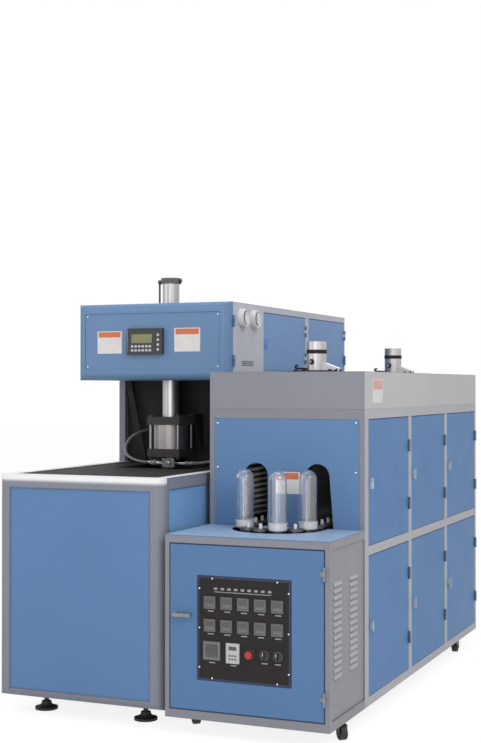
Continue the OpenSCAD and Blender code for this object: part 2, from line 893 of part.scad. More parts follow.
module blow_nozzle() color(steel) {
    difference() {
        union() {
            axis_rod(nozzle_rod_d / 2, seal_floor - cross_drop, seal_top - nozzle_travel / 4);
            axis_rod(seal_barrel / 2 - seal_wall - run, seal_top - seal_plate - 2 * nozzle_travel,
                seal_top - seal_plate - nozzle_travel);
            translate([pxm, ay, seal_floor - seal_drop]) rotate_extrude()
                polygon([[0, 0], [bell_r, 0], [bell_r, bell_rim], [nozzle_rod_d / 2, bell_h], [0, bell_h]]);
            axis_block(cross_side, seal_floor - cross_drop - cross_side / 3,
                seal_floor - cross_drop + cross_side / 3);
            for (side = [-1, 1]) {
                start = side < 0 ? pxm - port_reach : pxm + cross_side / 2 - eps;
                rod_along(0, [start, ay, seal_floor - cross_drop], port_l + eps, hose_r + 2);
                nut = side < 0 ? start + nut_l * 0.2 : start + port_l - nut_l;
                translate([nut, ay, seal_floor - cross_drop]) rotate([0, 90, 0])
                    cylinder(r = hose_r * 1.9, h = nut_l, $fn = 6);
            }
        }
        axis_rod(rod_d / 2 + air_gap, seal_floor - seal_drop - eps, seal_top + eps);
        translate([pxm, ay, seal_floor - seal_drop - eps]) cylinder(r = neck_r, h = bell_rim);
    }
}

module stretch_cylinder() color(steel) {
    r = stretch_bore / 2;
    difference() {
        axis_rod(stretch_side / 2, seal_top + seam, stretch_top - cap_h);
        axis_rod(r, seal_top + cap_h, stretch_top - cap_h + eps);
        axis_rod(rod_d / 2 + run, seal_top, seal_top + cap_h + eps);
    }
    z = stretch_top - cap_h / 2;
    color(deck_black) {
        translate([pxm, ay, stretch_top - cap_h]) rotate(cap_turn)
            cylinder(r = stretch_side / 2 + cap_step, h = cap_h, $fn = 8);
        rod_along(0, [pxm - stretch_side / 2 - elbow_out, ay, z], elbow_out, port_r);
        rod_along(0, [pxm + stretch_side / 2, ay, z], cap_step + knob_l, knob_r);
        rod_along(2, [pxm - stretch_side / 2 - elbow_out, ay, z - cap_h / 2], cap_h * 0.7, port_r * 1.3);
        rod_along(2, [pxm - stretch_side / 2 - elbow_out, ay, head_top + head_wall + seam],
            z - head_top - head_wall - seam, line_r);
    }
}

// The piston's face is at the top of its stroke at rest
module stretch_rod() color([0.82, 0.82, 0.83]) {
    axis_rod(rod_d / 2, seal_floor - seal_drop + bell_rim, stretch_top - cap_h - piston_in);
    axis_rod(stretch_bore / 2 - run, stretch_top - cap_h - 2 * piston_in, stretch_top - cap_h - piston_in);
}

// Hoses: the route is smoothed between its points and swept with rings that don't twist

function on_route(p, i, t) = let (a = p[max(i - 1, 0)], b = p[i], c = p[i + 1], d = p[min(i + 2, len(p) - 1)])
    0.5 * (2 * b + (c - a) * t + (2 * a - 5 * b + 4 * c - d) * t * t + (3 * b - a - 3 * c + d) * t * t * t);
function smooth(p, n) = concat([for (i = [0:len(p) - 2], k = [0:n - 1]) on_route(p, i, k / n)],
    [p[len(p) - 1]]);
function unit(v) = v / norm(v);
function headings(p) = [for (i = [0:len(p) - 1]) unit(p[min(i + 1, len(p) - 1)] - p[max(i - 1, 0)])];
function sides_of(t, u, i = 0) = i == len(t) ? [] :
    let (n = unit(u - (u * t[i]) * t[i])) concat([n], sides_of(t, n, i + 1));

module hose(route, out, into) color(hose_black) {
    ring = 12;
    p = smooth(route, 4);
    along = headings(p);
    t = [for (i = [0:len(p) - 1]) i == 0 ? out : i == len(p) - 1 ? into : along[i]];
    n = sides_of(t, [0, 1, 0.2]);
    points = [for (i = [0:len(p) - 1], k = [0:ring - 1])
        p[i] + hose_r * (cos(360 * k / ring) * n[i] + sin(360 * k / ring) * cross(t[i], n[i]))];
    last = len(points) - ring;
    polyhedron(points, concat([[for (k = [0:ring - 1]) k]], [[for (k = [ring - 1:-1:0]) last + k]],
        [for (i = [0:len(p) - 2], k = [0:ring - 1]) let (a = i * ring + k, b = i * ring + (k + 1) % ring)
            [a, a + ring, b + ring, b]]));
}

// Route from a port of the nozzle over the bends to a fitting on the column
function route(side, bends, end) = concat([[pxm + side * (port_reach + seam), ay, port_z]],
    [for (p = bends) [pxm, ay, port_z] + p], [end]);

module air_hose_left() hose(route(-1, left_bends, left_end), [-1, 0, 0], [0, 1, 0]);
module air_hose_right() hose(route(1, right_bends, right_end), [1, 0, 0], [0, 1, 0]);

// Head

// Hole round the stretch cylinder in the head's floor and roof
module cylinder_hole(z) {
    axis_rod(stretch_side / 2 + 2, z - eps, z + head_wall + eps);
}

module head_shell() color(frame_grey) {
    w = head_wall;
    z0 = head_floor;
    z1 = head_top;
    for (z = [z0, z1 - w]) difference() {
        block([px0, hy1, z], [px1, py1, z + w]);
        cylinder_hole(z);
    }
    block([px0, hy1, z0 + w + seam], [px0 + w, py1, z1 - w - seam]);
    block([px0 + w + seam, py1 - w, z0 + w + seam], [px1 - head_rail - seam, py1, z1 - w - seam]);
    y0 = hy1 + gauge_wall;
    block([px1 - head_rail, y0, z0 + w + seam], [px1, py1, z0 + head_sill]);
    block([px1 - head_rail, y0, z1 - head_lintel], [px1, py1, z1 - w - seam]);
    for (y = [[y0 + head_door_l, y0 + head_door_l + mullion], [py1 - head_stile, py1]])
        block([px1 - head_rail, y[0], z0 + head_sill + seam], [px1, y[1], z1 - head_lintel - seam]);
    for (y = [y0 + head_door_l, py1 - head_stile], z = side_hinges(z0 + head_sill, z1 - head_lintel))
        on_right(px1, y - door_gap / 2, z) fixed_knuckles(head_stile - door_gap);
    difference() {
        block([px1 - w, hy1, z0 + w + seam], [px1, y0 - seam, z1 - w - seam]);
        for (i = [0:vent_columns - 1], k = [0:vent_rows - 1])
            translate([px1 - w - eps, hy1 + vent_inset + (i + (k % 2) / 2) * vent_pitch,
                z0 + head_sill + vent_rise + k * vent_pitch * 0.87])
                rotate([0, 90, 0]) cylinder(r = vent_pitch * 0.42, h = w + 2 * eps, $fn = 6);
        for (y = gauge_places) rod_along(0, [px1 - w - eps, y, gauge_z], w + 2 * eps, port_r + run);
    }
    for (z = hinge_heights(z0, z1)) on_right(px1, hy1 - seam / 2, z) fixed_knuckles(leaf_w);
}

module head_front_door() color(panel_blue) {
    difference() {
        soft_front([px0, hy0, head_floor], [px1, hy0 + head_door_d, head_top], surround_r);
        block([px0 + recess_side, hy0 - eps, head_floor + recess_foot],
            [px1 - recess_side, hy0 + head_recess, head_top - recess_head]);
        block([px0 + surround_r, hy0 + head_recess + 3 * head_wall, head_floor + surround_r],
            [px1 - surround_r, hy0 + head_door_d + eps, head_top - surround_r]);
    }
    for (z = hinge_heights(head_floor, head_top)) on_right(px1, hy1 - seam / 2, z) mirror([1, 0, 0])
        moving_knuckle();
}

// Operator panel: a frame round a sunk face, with a screen, two rows of keys and a column of buttons
module operator_panel() {
    x0 = pxm - operator_left;
    z0 = head_floor + operator_rise;
    front = hy0 + head_recess - operator_proud;
    face = front + operator_sunk;
    color(deck_black) difference() {
        block([x0, front, z0], [x0 + operator_w, hy0 + head_recess - seam, z0 + operator_h]);
        block([x0 + operator_rim, front - eps, z0 + operator_rim],
            [x0 + operator_w - operator_rim, face, z0 + operator_h - operator_rim]);
    }
    color([0.35, 0.42, 0.40]) translate([x0 + screen_place[0], face - key_rise, z0 + screen_place[1]])
        cube([screen_w, key_rise + eps, screen_h]);
    color(key_grey) for (k = [0:key_columns - 1], row = [0, 1])
        translate([x0 + key_place[0] + k * key_pitch, face - key_rise, z0 + key_place[1] + row * key_pitch])
            cube([key_w, key_rise + eps, key_h]);
    color(key_grey) for (k = [0:3])
        rod_along(1, [x0 + operator_w - key_margin, face - key_rise, z0 + key_margin + k * button_pitch],
            key_rise + eps, key_w / 2);
}

module head_side_door(y0) color(panel_blue)
    side_door(px1, y0 + door_gap, y0 + head_door_l - door_gap, head_floor + head_sill + door_gap,
        head_top - head_lintel - door_gap, (head_floor + head_top) / 2);
module head_door_front() head_side_door(hy1 + gauge_wall);
module head_door_rear() head_side_door(hy1 + gauge_wall + head_door_l + mullion);

module pressure_gauges() {
    for (y = gauge_places) {
        face = px1 + gauge_depth - gauge_sunk;
        color(steel) difference() {
            rod_along(0, [px1 + seam, y, gauge_z], gauge_depth, gauge_r);
            rod_along(0, [face, y, gauge_z], gauge_sunk + eps, gauge_r - gauge_rim);
        }
        color([0.93, 0.93, 0.90]) rod_along(0, [face - eps, y, gauge_z], 2 * eps, gauge_r - gauge_rim);
        color(deck_black) translate([face, y, gauge_z]) rotate([gauge_turn, 0, 0])
            block([0, -hand_w / 2, -hand_tail], [2 * eps, hand_w / 2, gauge_r - gauge_rim - hand_tail]);
        color(steel) rod_along(0, [px1 - gauge_depth, y, gauge_z], gauge_depth + seam + eps, port_r);
    }
}

// Oven

rail_z = [oven_floor, mid_rail_top - mid_rail_h, oven_h - hood_h - top_rail_h];
rail_h = [bottom_rail_h, mid_rail_h, top_rail_h];
oven_top = oven_h - hood_h;
door_l = (oven_d - corner_post - rear_post - 2 * mullion) / 3;
function door_y(i) = oy0 + corner_post + i * (door_l + mullion);
run_x = [axis_x - sprocket_r, axis_x + sprocket_r];

// Rear and front fork places, as x, y and the side of the oven they stand on
fork_places = [[ox0 + caster_in, caster_front_y], [ox1 - caster_in, caster_front_y],
    [ox0 + caster_in, caster_rear_y], [ox1 - caster_in, caster_rear_y]];

module oven_frame() color(frame_grey) {
    t = oven_tube;
    s = seam;
    for (x = [[ox0, ox0 + front_border], [ox1 - front_border, ox1]])
        tube_bar([x[0], oy0, oven_floor], [x[1], oy0 + corner_post, oven_top], 2);
    for (x = [ox0, ox1 - t]) {
        tube_bar([x, oy1 - rear_post, oven_floor], [x + t, oy1, oven_top], 2);
        for (i = [0:2]) tube_bar([x, oy0 + corner_post + s, rail_z[i]],
            [x + t, oy1 - rear_post - s, rail_z[i] + rail_h[i]], 1);
        for (i = [1, 2], k = [0, 1])
            tube_bar([x, door_y(i) - mullion, rail_z[k] + rail_h[k] + s],
                [x + t, door_y(i), rail_z[k + 1] - s], 2);
        tube_bar([x, sy0 + step_post + s, step_rail_z], [x + t, oy0 - s, step_rail_z + step_rail], 1);
        tube_bar([x, sy0 + step_post + s, oven_floor], [x + t, oy0 - s, oven_floor + bottom_rail_h], 1);
    }
    for (x = [[ox0, ox0 + front_border], [ox1 - front_border, ox1]])
        tube_bar([x[0], sy0, oven_floor], [x[1], sy0 + step_post, step_rail_z + step_rail], 2);
    tube_bar([ox0 + front_border + s, oy0, oven_top - top_rail_h],
        [ox1 - front_border - s, oy0 + t, oven_top], 0);
    for (z = [oven_floor, oven_top - top_rail_h])
        tube_bar([ox0 + t + s, oy1 - rear_post, z], [ox1 - t - s, oy1, z + rail_h[0]], 0);
    for (z = [[oven_floor, oven_floor + bottom_rail_h], [step_rail_z, step_rail_z + step_rail]])
        tube_bar([ox0 + front_border + s, sy0, z[0]], [ox1 - front_border - s, sy0 + step_post, z[1]], 0);
    for (y = [caster_front_y - t / 2, door_y(1) - mullion, caster_rear_y - t / 2])
        tube_bar([ox0 + t + s, y, oven_floor], [ox1 - t - s, y + t, oven_floor + bottom_rail_h], 0);
    difference() {
        block([ox0 + t + s, sy0 + step_post + s, table_z - table_t],
            [ox1 - t - s, oy1 - rear_post - s, table_z]);
        for (y = [sprocket_y, rear_sprocket_y])
            rod_along(2, [axis_x, y, table_z - table_t - eps], table_t + 2 * eps, shaft_r + run);
    }
    for (i = [0:2], k = [0, 1], z = side_hinges(rail_z[k] + rail_h[k], rail_z[k + 1]))
        on_right(ox1, door_y(i) + door_l - door_gap / 2, z) fixed_knuckles(leaf_w);
    for (z = hinge_heights(step_door_z[0], step_door_z[1]))
        on_front(ox1 - front_border + door_gap / 2, sy0, z) fixed_knuckles(leaf_w);
    for (p = fork_places) block([p[0] - swivel_foot, p[1] - swivel_foot, oven_floor - seam - swivel_plate],
        [p[0] + swivel_foot, p[1] + swivel_foot, oven_floor - seam]);
    for (i = [2, 3]) at_caster(i) caster_fork();
}

module oven_hood() color(frame_grey) {
    s = seam;
    block([ox0, oy0, oven_h - sheet], [ox1, oy1, oven_h]);
    for (x = [ox0, ox1 - sheet]) block([x, oy0, oven_top + s], [x + sheet, oy1, oven_h - sheet - s]);
    for (y = [oy0, oy1 - sheet]) block([ox0 + sheet + s, y, oven_top + s],
        [ox1 - sheet - s, y + sheet, oven_h - sheet - s]);
}

// Outline of an arch on the panel's face, with its right side sloped by a given run
module arch(x, slope) {
    r = arch_w / 2;
    translate([x, arch_top - r]) circle(r);
    polygon([[x - r, step_h - eps], [x + r + slope, step_h - eps], [x + r, arch_top - r],
        [x - r, arch_top - r]]);
}

module oven_front_panel() color(panel_blue) {
    translate([0, oy0 + front_sunk + sheet, 0]) rotate([90, 0, 0]) linear_extrude(sheet) difference() {
        translate([ox0 + front_border + seam, step_h + seam])
            square([oven_w - 2 * (front_border + seam), oven_top - top_rail_h - step_h - 2 * seam]);
        arch(arch_x[0], 0);
        arch(arch_x[1], arch_slope);
    }
}

// Plain panels on the side towards the press and at the back
module oven_fixed_panels() color(panel_blue) {
    for (i = [0:2], k = [0, 1])
        side_panel(ox0, -1, door_y(i), door_y(i) + door_l, rail_z[k] + rail_h[k], rail_z[k + 1]);
    block([ox0 + oven_tube + seam, oy1 - sheet, oven_floor + rail_h[0] + seam],
        [ox1 - oven_tube - seam, oy1, oven_top - top_rail_h - seam]);
}

module oven_door(i, k) color(panel_blue) {
    z0 = rail_z[k] + rail_h[k] + door_gap;
    z1 = rail_z[k + 1] - door_gap;
    side_door(ox1, door_y(i) + door_gap, door_y(i) + door_l - door_gap, z0, z1,
        k == 0 ? door_latch_z[0] : door_latch_z[1]);
}

module oven_door_lower_1() oven_door(0, 0);
module oven_door_lower_2() oven_door(1, 0);
module oven_door_lower_3() oven_door(2, 0);
module oven_door_upper_1() oven_door(0, 1);
module oven_door_upper_2() oven_door(1, 1);
module oven_door_upper_3() oven_door(2, 1);

// Step cabinet

// U-shaped slot in the deck, along which the preforms come round the front sprocket
module slot_outline(r) {
    translate([axis_x, sprocket_y]) circle(r);
    translate([axis_x - r, sprocket_y]) square([2 * r, oy0 - sprocket_y + island_l]);
}

module step_deck() color(panel_blue) {
    translate([0, 0, step_h - deck_sheet]) linear_extrude(deck_sheet) {
        difference() {
            translate([ox0, sy0]) square([oven_w, step_d - seam]);
            slot_outline(sprocket_r + slot_half);
        }
        slot_outline(sprocket_r - slot_half);
    }
    for (x = [-1, 1]) translate([axis_x + x * island_post_x, oy0 + island_l - island_post_r * 2,
        table_z + seam])
        cylinder(r = island_post_r, h = step_h - deck_sheet - table_z - seam);
}

// One louvre: a pressed scoop that opens downwards
module louvre(length) {
    lip = 1.2;
    rotate([90, 0, 0]) linear_extrude(length) polygon([[0, 0], [louvre_rise, 0], [louvre_rise - lip, -lip],
        [lip, louvre_pitch * 0.5], [0, louvre_pitch * 0.56]]);
}

module step_side_panels() color(frame_grey) {
    y0 = sy0 + step_post + seam;
    y1 = oy0 - seam;
    z0 = oven_floor + bottom_rail_h + seam;
    z1 = step_rail_z - seam;
    block([ox0 + panel_recess, y0, z0], [ox0 + panel_recess + sheet, y1, z1]);
    face = ox1 - louvre_rise - seam;
    difference() {
        block([face - sheet, y0, z0], [face, y1, z1]);
        for (y = louvre_y, k = [0:louvre_count - 1])
            translate([face - sheet - eps, y - louvre_l + louvre_end, louvre_z + k * louvre_pitch + 1])
                cube([sheet + 2 * eps, louvre_l - 2 * louvre_end, louvre_pitch * 0.32]);
    }
    for (y = louvre_y, k = [0:louvre_count - 1]) translate([face, y, louvre_z + k * louvre_pitch])
        difference() {
        louvre(louvre_l);
        translate([-eps, -sheet, -sheet]) louvre(louvre_l - 2 * sheet);
    }
}

// Hinged step door, cut out behind every instrument of the control plate
module step_door() color(panel_blue) {
    difference() {
        block([ox0 + front_border + door_gap, sy0, step_door_z[0]],
            [ox1 - front_border - door_gap, sy0 + door_t, step_door_z[1]]);
        block([ox0 + front_border + door_rib, sy0 + sheet, step_door_z[0] + door_rib],
            [ox1 - front_border - door_rib, sy0 + door_t + eps, step_door_z[1] - door_rib]);
        instrument_holes(sy0, sheet, 1);
        rod_along(1, [latch_x, sy0 - eps, latch_z], sheet + 2 * eps, latch_pin_r + run);
    }
    for (z = hinge_heights(step_door_z[0], step_door_z[1]))
        on_front(ox1 - front_border + door_gap / 2, sy0, z) mirror([1, 0, 0]) moving_knuckle();
}

// Places of the instruments on the control plate, from its middle and lower edge
meter_places = [for (row = [0, 1], k = [0:4]) [(k - 2) * meter_pitch, meter_row_z + row * meter_rise]];

// Openings for the meters, the timer, the keypad and the three round controls
module instrument_holes(y, depth, grow) {
    meter = meter_size - bezel_lip + grow;
    timer = timer_size - bezel_lip + grow;
    for (p = meter_places) square_hole([plate_x + p[0], plate_z + p[1]], [meter, meter], y, depth);
    square_hole([plate_x + timer_place[0], plate_z + timer_place[1]], [timer, timer], y, depth);
    square_hole([plate_x + keypad_place[0], plate_z + keypad_place[1]],
        keypad_size - (bezel_lip - grow) * [1, 1], y, depth);
    for (x = control_places) rod_along(1, [plate_x + x, y - eps, plate_z + control_z], depth + 2 * eps,
        stem_r + run + (grow - 1));
}

module square_hole(centre, size, y, depth) {
    h = size / 2;
    block([centre[0] - h[0], y - eps, centre[1] - h[1]],
        [centre[0] + h[0], y + depth + eps, centre[1] + h[1]]);
}

module control_plate() color(deck_black) {
    difference() {
        block([plate_x - plate_w / 2, sy0 - plate_t, plate_z],
            [plate_x + plate_w / 2, sy0 - seam / 2, plate_z + plate_h]);
        instrument_holes(sy0 - plate_t, plate_t, 1);
    }
}

// Panel instrument: a bezel on the plate, a sunk window, and its case through the door
module instrument(centre, size, depth) {
    y = sy0 - plate_t - seam / 3;
    difference() {
        plate_block(centre, size, y - bezel_t, y);
        plate_block(centre, size - bezel_rim * [1, 1], y - bezel_t - eps, y - bezel_t + window_sunk);
    }
    plate_block(centre, size - (bezel_lip + 1) * [1, 1], y - eps, y + depth);
}

// Upright block of a given width and height about a place on the control plate
module plate_block(centre, size, y0, y1) {
    block([plate_x + centre[0] - size[0] / 2, y0, plate_z + centre[1] - size[1] / 2],
        [plate_x + centre[0] + size[0] / 2, y1, plate_z + centre[1] + size[1] / 2]);
}

module panel_meters() color([0.16, 0.16, 0.17]) {
    for (p = meter_places) instrument(p, [meter_size, meter_size], case_d);
    instrument(timer_place, [timer_size, timer_size], case_d);
    instrument(keypad_place, keypad_size, case_d / 2);
}

// Stem of a round control, from the plate's face through the door
module control_stem(k) {
    rod_along(1, [plate_x + control_places[k], sy0 - plate_t - stem_front, plate_z + control_z], stem_l,
        stem_r);
}

module stop_button() color([0.80, 0.12, 0.10]) {
    front = sy0 - plate_t - knob_h;
    rod_along(1, [plate_x + control_places[0], front, plate_z + control_z], knob_h - button_travel - 1,
        button_r);
    rod_along(1, [plate_x + control_places[0], front + eps, plate_z + control_z],
        knob_h + stem_l - stem_front,
        stem_r);
}

module selector(k) color(deck_black) {
    front = sy0 - plate_t - knob_h;
    rod_along(1, [plate_x + control_places[k], front + knob_h * 0.45, plate_z + control_z],
        knob_h * 0.55 - seam, selector_r);
    control_stem(k);
    block([plate_x + control_places[k] - grip_w / 2, front, plate_z + control_z - selector_r + sheet],
        [plate_x + control_places[k] + grip_w / 2, front + knob_h * 0.5,
            plate_z + control_z + selector_r - sheet]);
}

module selector_left() selector(1);
module selector_right() selector(2);

// Handle of the step door, with its shaft and the cam that catches behind the frame
module step_door_latch() color([0.30, 0.30, 0.32]) {
    y = sy0 - latch_grip;
    rod_along(1, [latch_x, sy0 - seam - rose_t, latch_z], rose_t, latch_rose_r);
    rod_along(1, [latch_x, y, latch_z], latch_grip + step_post + rose_t - eps, latch_pin_r);
    block([latch_x - latch_lever_t, y, latch_z - latch_lever_w / 2],
        [latch_x + latch_lever_l, y + latch_lever_t, latch_z + latch_lever_w / 2]);
    block([latch_x - latch_cam_w / 2, sy0 + step_post + 2 * seam, latch_z - latch_cam_l],
        [latch_x + latch_cam_w / 2, sy0 + step_post + rose_t, latch_z + latch_cam_w / 2]);
}

// Preform carrier

sprocket_y = oy0 + sprocket_setback;
pins_front = [for (k = [0:lobes / 2 - 1]) let (a = 180 + chain_phase + k * lobe_turn)
    [axis_x + sprocket_r * cos(a), sprocket_y + sprocket_r * sin(a)]];
first_rise = sqrt(pow(link_pitch, 2) - pow(run_x[1] - pins_front[lobes / 2 - 1][0],
    2)) + pins_front[lobes / 2 - 1][1] - sprocket_y;
last_rise = sqrt(pow(link_pitch, 2) - pow(run_x[0] - pins_front[0][0], 2)) + pins_front[0][1] - sprocket_y;
run_length = first_rise + (straight_links - 1) * link_pitch + last_rise;
rear_sprocket_y = sprocket_y + run_length;
half_pins = concat(pins_front, [for (k = [0:straight_links - 1]) [run_x[1],
    sprocket_y + first_rise + k * link_pitch]]);
chain_pins = concat(half_pins, [for (p = half_pins) [2 * axis_x - p[0],
    sprocket_y + rear_sprocket_y - p[1]]]);

// The children at a link's middle, turned so that x runs along the link
module at_link(i) {
    a = chain_pins[i];
    b = chain_pins[(i + 1) % len(chain_pins)];
    translate([(a[0] + b[0]) / 2, (a[1] + b[1]) / 2, chain_z]) rotate(atan2(b[1] - a[1], b[0] - a[0]))
        children();
}

// Carrier link: an eye at one end, a fork at the other with its pin, a roller below each pin and
// a bearing for the spindle in the middle
module carrier_link() {
    h = link_pitch / 2;
    third = link_h / 3;
    difference() {
        union() {
            translate([h, 0, third + seam]) cylinder(r = link_r, h = third - 2 * seam);
            block([0, -link_r * 0.8, third + seam], [h, link_r * 0.8, 2 * third - seam]);
            for (z = [0, 2 * third]) {
                translate([-h, 0, z]) cylinder(r = link_r, h = third);
                block([-h, -link_r * 0.8, z], [-link_r, link_r * 0.8, z + third]);
            }
            translate([-h, 0, -roller_h]) cylinder(r = link_pin_r, h = roller_h + link_h);
            translate([-h, 0, -roller_h]) cylinder(r = roller_r, h = roller_h - seam);
            cylinder(r = bearing_r, h = bearing_h);
        }
        translate([h, 0, 0]) cylinder(r = link_pin_r + run, h = link_h);
        translate([0, 0, -eps]) cylinder(r = spindle_r + run, h = bearing_h + 2 * eps);
    }
}

module carrier_chain() color([0.45, 0.45, 0.48]) for (i = [0:len(chain_pins) - 1]) {
    at_link(i) carrier_link();
    if (len(search(i, loaded_links)) == 0) spindle(i);
}

module sprocket(y, drop) color([0.40, 0.41, 0.44]) {
    translate([axis_x, y, 0]) {
        translate([0, 0, chain_z - roller_h + sprocket_gap]) linear_extrude(roller_h - 2 * sprocket_gap)
            difference() {
            circle(sprocket_r + tooth_tip);
            for (p = chain_pins) if (norm(p - [axis_x, y]) < sprocket_r + roller_r)
                translate(p - [axis_x, y]) circle(roller_r + seam);
            for (k = [0:3]) rotate(45 + 90 * k) translate([sprocket_r * 0.58, 0]) circle(sprocket_r * 0.2);
        }
        translate([0, 0, table_z + seam]) cylinder(r = shaft_r * 2, h = chain_z - table_z + hub_over);
        translate([0, 0, table_z - drop]) cylinder(r = shaft_r, h = drop + shaft_over);
    }
}

module drive_sprocket() sprocket(rear_sprocket_y, shaft_over);
module idler_sprocket() sprocket(sprocket_y, shaft_over - 2 * table_t);

// Spindle on a link, with its pulley head, the ring that the preform stands on, a plug and a pin
module spindle(i) color(steel) at_link(i) {
    translate([0, 0, seam]) cylinder(r = spindle_r, h = preform_z - chain_z - seam);
    translate([0, 0, bearing_h + seam]) cylinder(r = head_r,
        h = preform_z - chain_z - bearing_h - spindle_ring);
    translate([0, 0, preform_z - chain_z - spindle_ring]) cylinder(r = preform_r - 1, h = spindle_ring);
    translate([0, 0, preform_z - chain_z]) cylinder(r = preform_r - preform_wall - seam, h = plug_h);
    translate([0, 0, preform_z - chain_z]) cylinder(r = mandrel_r, h = mandrel_h);
}

// Preform, open end down: support ring, threaded neck and a body closed by a dome
module preform(i) color([0.80, 0.86, 0.90]) at_link(i) translate([0, 0, preform_z - chain_z + seam])
    rotate_extrude() difference() {
    union() {
        square([preform_r, preform_h - preform_r]);
        for (z = neck_thread) translate([0, z]) square([preform_r + thread_out, 2]);
        translate([0, ring_z]) square([preform_r + ring_out, ring_t]);
        intersection() {
            translate([0, preform_h - preform_r]) circle(preform_r);
            translate([0, preform_h - preform_r]) square(preform_r);
        }
    }
    translate([0, -eps]) square([preform_r - preform_wall, preform_h - preform_r + eps]);
    intersection() {
        translate([0, preform_h - preform_r - eps]) circle(preform_r - preform_wall);
        translate([0, preform_h - preform_r - eps]) square(preform_r);
    }
}

module spindle_1() spindle(loaded_links[0]);
module spindle_2() spindle(loaded_links[1]);
module spindle_3() spindle(loaded_links[2]);
module preform_1() preform(loaded_links[0]);
module preform_2() preform(loaded_links[1]);
module preform_3() preform(loaded_links[2]);

// Heating

bank_x = [run_x[0] - lamp_reach, run_x[1] + lamp_reach];
bank_y = oy0 + bank_setback;
function lamp_z(i) = lamp_low + i * lamp_pitch;

module lamp_tubes() for (x = bank_x, i = [0:lamp_count - 1]) {
    color([0.93, 0.80, 0.62]) rod_along(1, [x, bank_y + socket_l, lamp_z(i)], lamp_l, lamp_r);
    color([0.90, 0.88, 0.82]) for (y = [bank_y, bank_y + socket_l + lamp_l - eps])
        rod_along(1, [x, y, lamp_z(i)], socket_l + eps, socket_r);
}

module lamp_racks() color(steel) {
    z1 = lamp_z(lamp_count - 1) + lamp_pitch;
    for (side = [0, 1]) {
        x = bank_x[side];
        dir = side == 0 ? -1 : 1;
        for (y = [bank_y + socket_l / 2, bank_y + socket_l * 1.5 + lamp_l - rack_t / 2]) difference() {
            block([x - rack_w / 2, y - rack_t / 2, table_z + seam], [x + rack_w / 2, y + rack_t / 2, z1]);
            for (i = [0:lamp_count - 1]) rod_along(1, [x, y - rack_t, lamp_z(i)], 2 * rack_t, socket_r + run);
        }
        reflector(x + dir * (rack_w / 2 + seam), dir, z1);
        reflector(run_x[side] - dir * lamp_reach * 0.9, -dir, z1);
    }
}

// Flat reflector with a stiffening lip at its foot
module reflector(x, dir, z1) {
    block([min(x, x + dir * sheet), bank_y + socket_l, table_z + seam],
        [max(x, x + dir * sheet), bank_y + socket_l + lamp_l, z1]);
}

// Gear motor under the table, with its flange and the coupling on the sprocket's shaft
module gear_motor() color([0.32, 0.40, 0.45])
    translate([axis_x, rear_sprocket_y, table_z - table_t - motor_box_h]) {
    h = motor_side / 2;
    difference() {
        block([-h, -h, 0], [h, h, motor_box_h - seam]);
        translate([0, 0, motor_box_h / 2]) cylinder(r = shaft_r + run, h = motor_box_h);
    }
    translate([0, 0, -motor_h]) cylinder(r = motor_r, h = motor_h + eps);
    for (k = [0:11]) rotate(30 * k) translate([motor_r - eps, -eps, 2 * motor_cap_h - motor_h])
        cube([motor_rib, 2 * eps, motor_h - 3 * motor_cap_h]);
    translate([0, 0, -motor_h - motor_cap_h]) cylinder(r = motor_cap_r, h = 2 * motor_cap_h);
}

// Cooling blower on the roof: base plate, round casing with its band, and an outlet chute
module blower() {
    color(deck_black) block([-blower_base, -blower_foot, 0], [blower_base, blower_foot, blower_base_t]);
    color(steel) cylinder(r = blower_r, h = blower_h);
    color(deck_black) translate([0, 0, band_z]) cylinder(r = blower_r + band_out, h = band_h);
    color(steel) translate([0, chute_w / 2, 0]) rotate([90, 0, 0]) linear_extrude(chute_w)
        polygon([[0, 0], [blower_r + chute_l, 0], [blower_r + chute_l, 2 * blower_base_t],
            [0, band_z * 0.7]]);
}

module blower_motors() for (y = blower_places) translate([oxm, y, oven_h + seam]) blower();

// Castors: the two at the front swivel, the two at the back are fixed along the oven

module caster_fork() {
    top = oven_floor - swivel_plate - 2 * seam;
    difference() {
        union() {
            translate([0, 0, top - swivel_t]) cylinder(r = swivel_r, h = swivel_t);
            for (side = [-1, 1]) translate([0, side * (wheel_w / 2 + fork_gap + fork_t / 2) + fork_t / 2, 0])
                rotate([90, 0, 0]) linear_extrude(fork_t) fork_leg(top - swivel_t);
        }
        rod_along(1, [castor_trail, -wheel_w, wheel_r], 2 * wheel_w, axle_r + run);
    }
}

// Side plate of a fork, which narrows down to a round end at the axle
module fork_leg(top) {
    translate([castor_trail, wheel_r]) circle(fork_end);
    polygon([[-fork_back, top + eps], [-fork_back, top - fork_t],
        [castor_trail - fork_end * 0.8, wheel_r - fork_end * 0.6], [castor_trail + fork_end, wheel_r],
        [castor_trail + fork_end, top + eps]]);
}

// The children at a castor's swivel axis, turned as it stands at rest
module at_caster(i) {
    translate([fork_places[i][0], fork_places[i][1], 0]) rotate(caster_turn[i]) children();
}

module caster_wheel(i) at_caster(i) translate([castor_trail, 0, wheel_r]) {
    color(foot_black) difference() {
        rod_along(1, [0, -wheel_w / 2, 0], wheel_w, wheel_r);
        for (y = [-wheel_w / 2 - eps, wheel_w / 2 - tread_dish])
            rod_along(1, [0, y, 0], tread_dish + eps, wheel_r * 0.66);
    }
    color(steel) rod_along(1, [0, -axle_l / 2, 0], axle_l, axle_r);
}

module caster_fork_left() color(steel) at_caster(0) caster_fork();
module caster_fork_right() color(steel) at_caster(1) caster_fork();
module caster_wheel_1() caster_wheel(0);
module caster_wheel_2() caster_wheel(1);
module caster_wheel_3() caster_wheel(2);
module caster_wheel_4() caster_wheel(3);

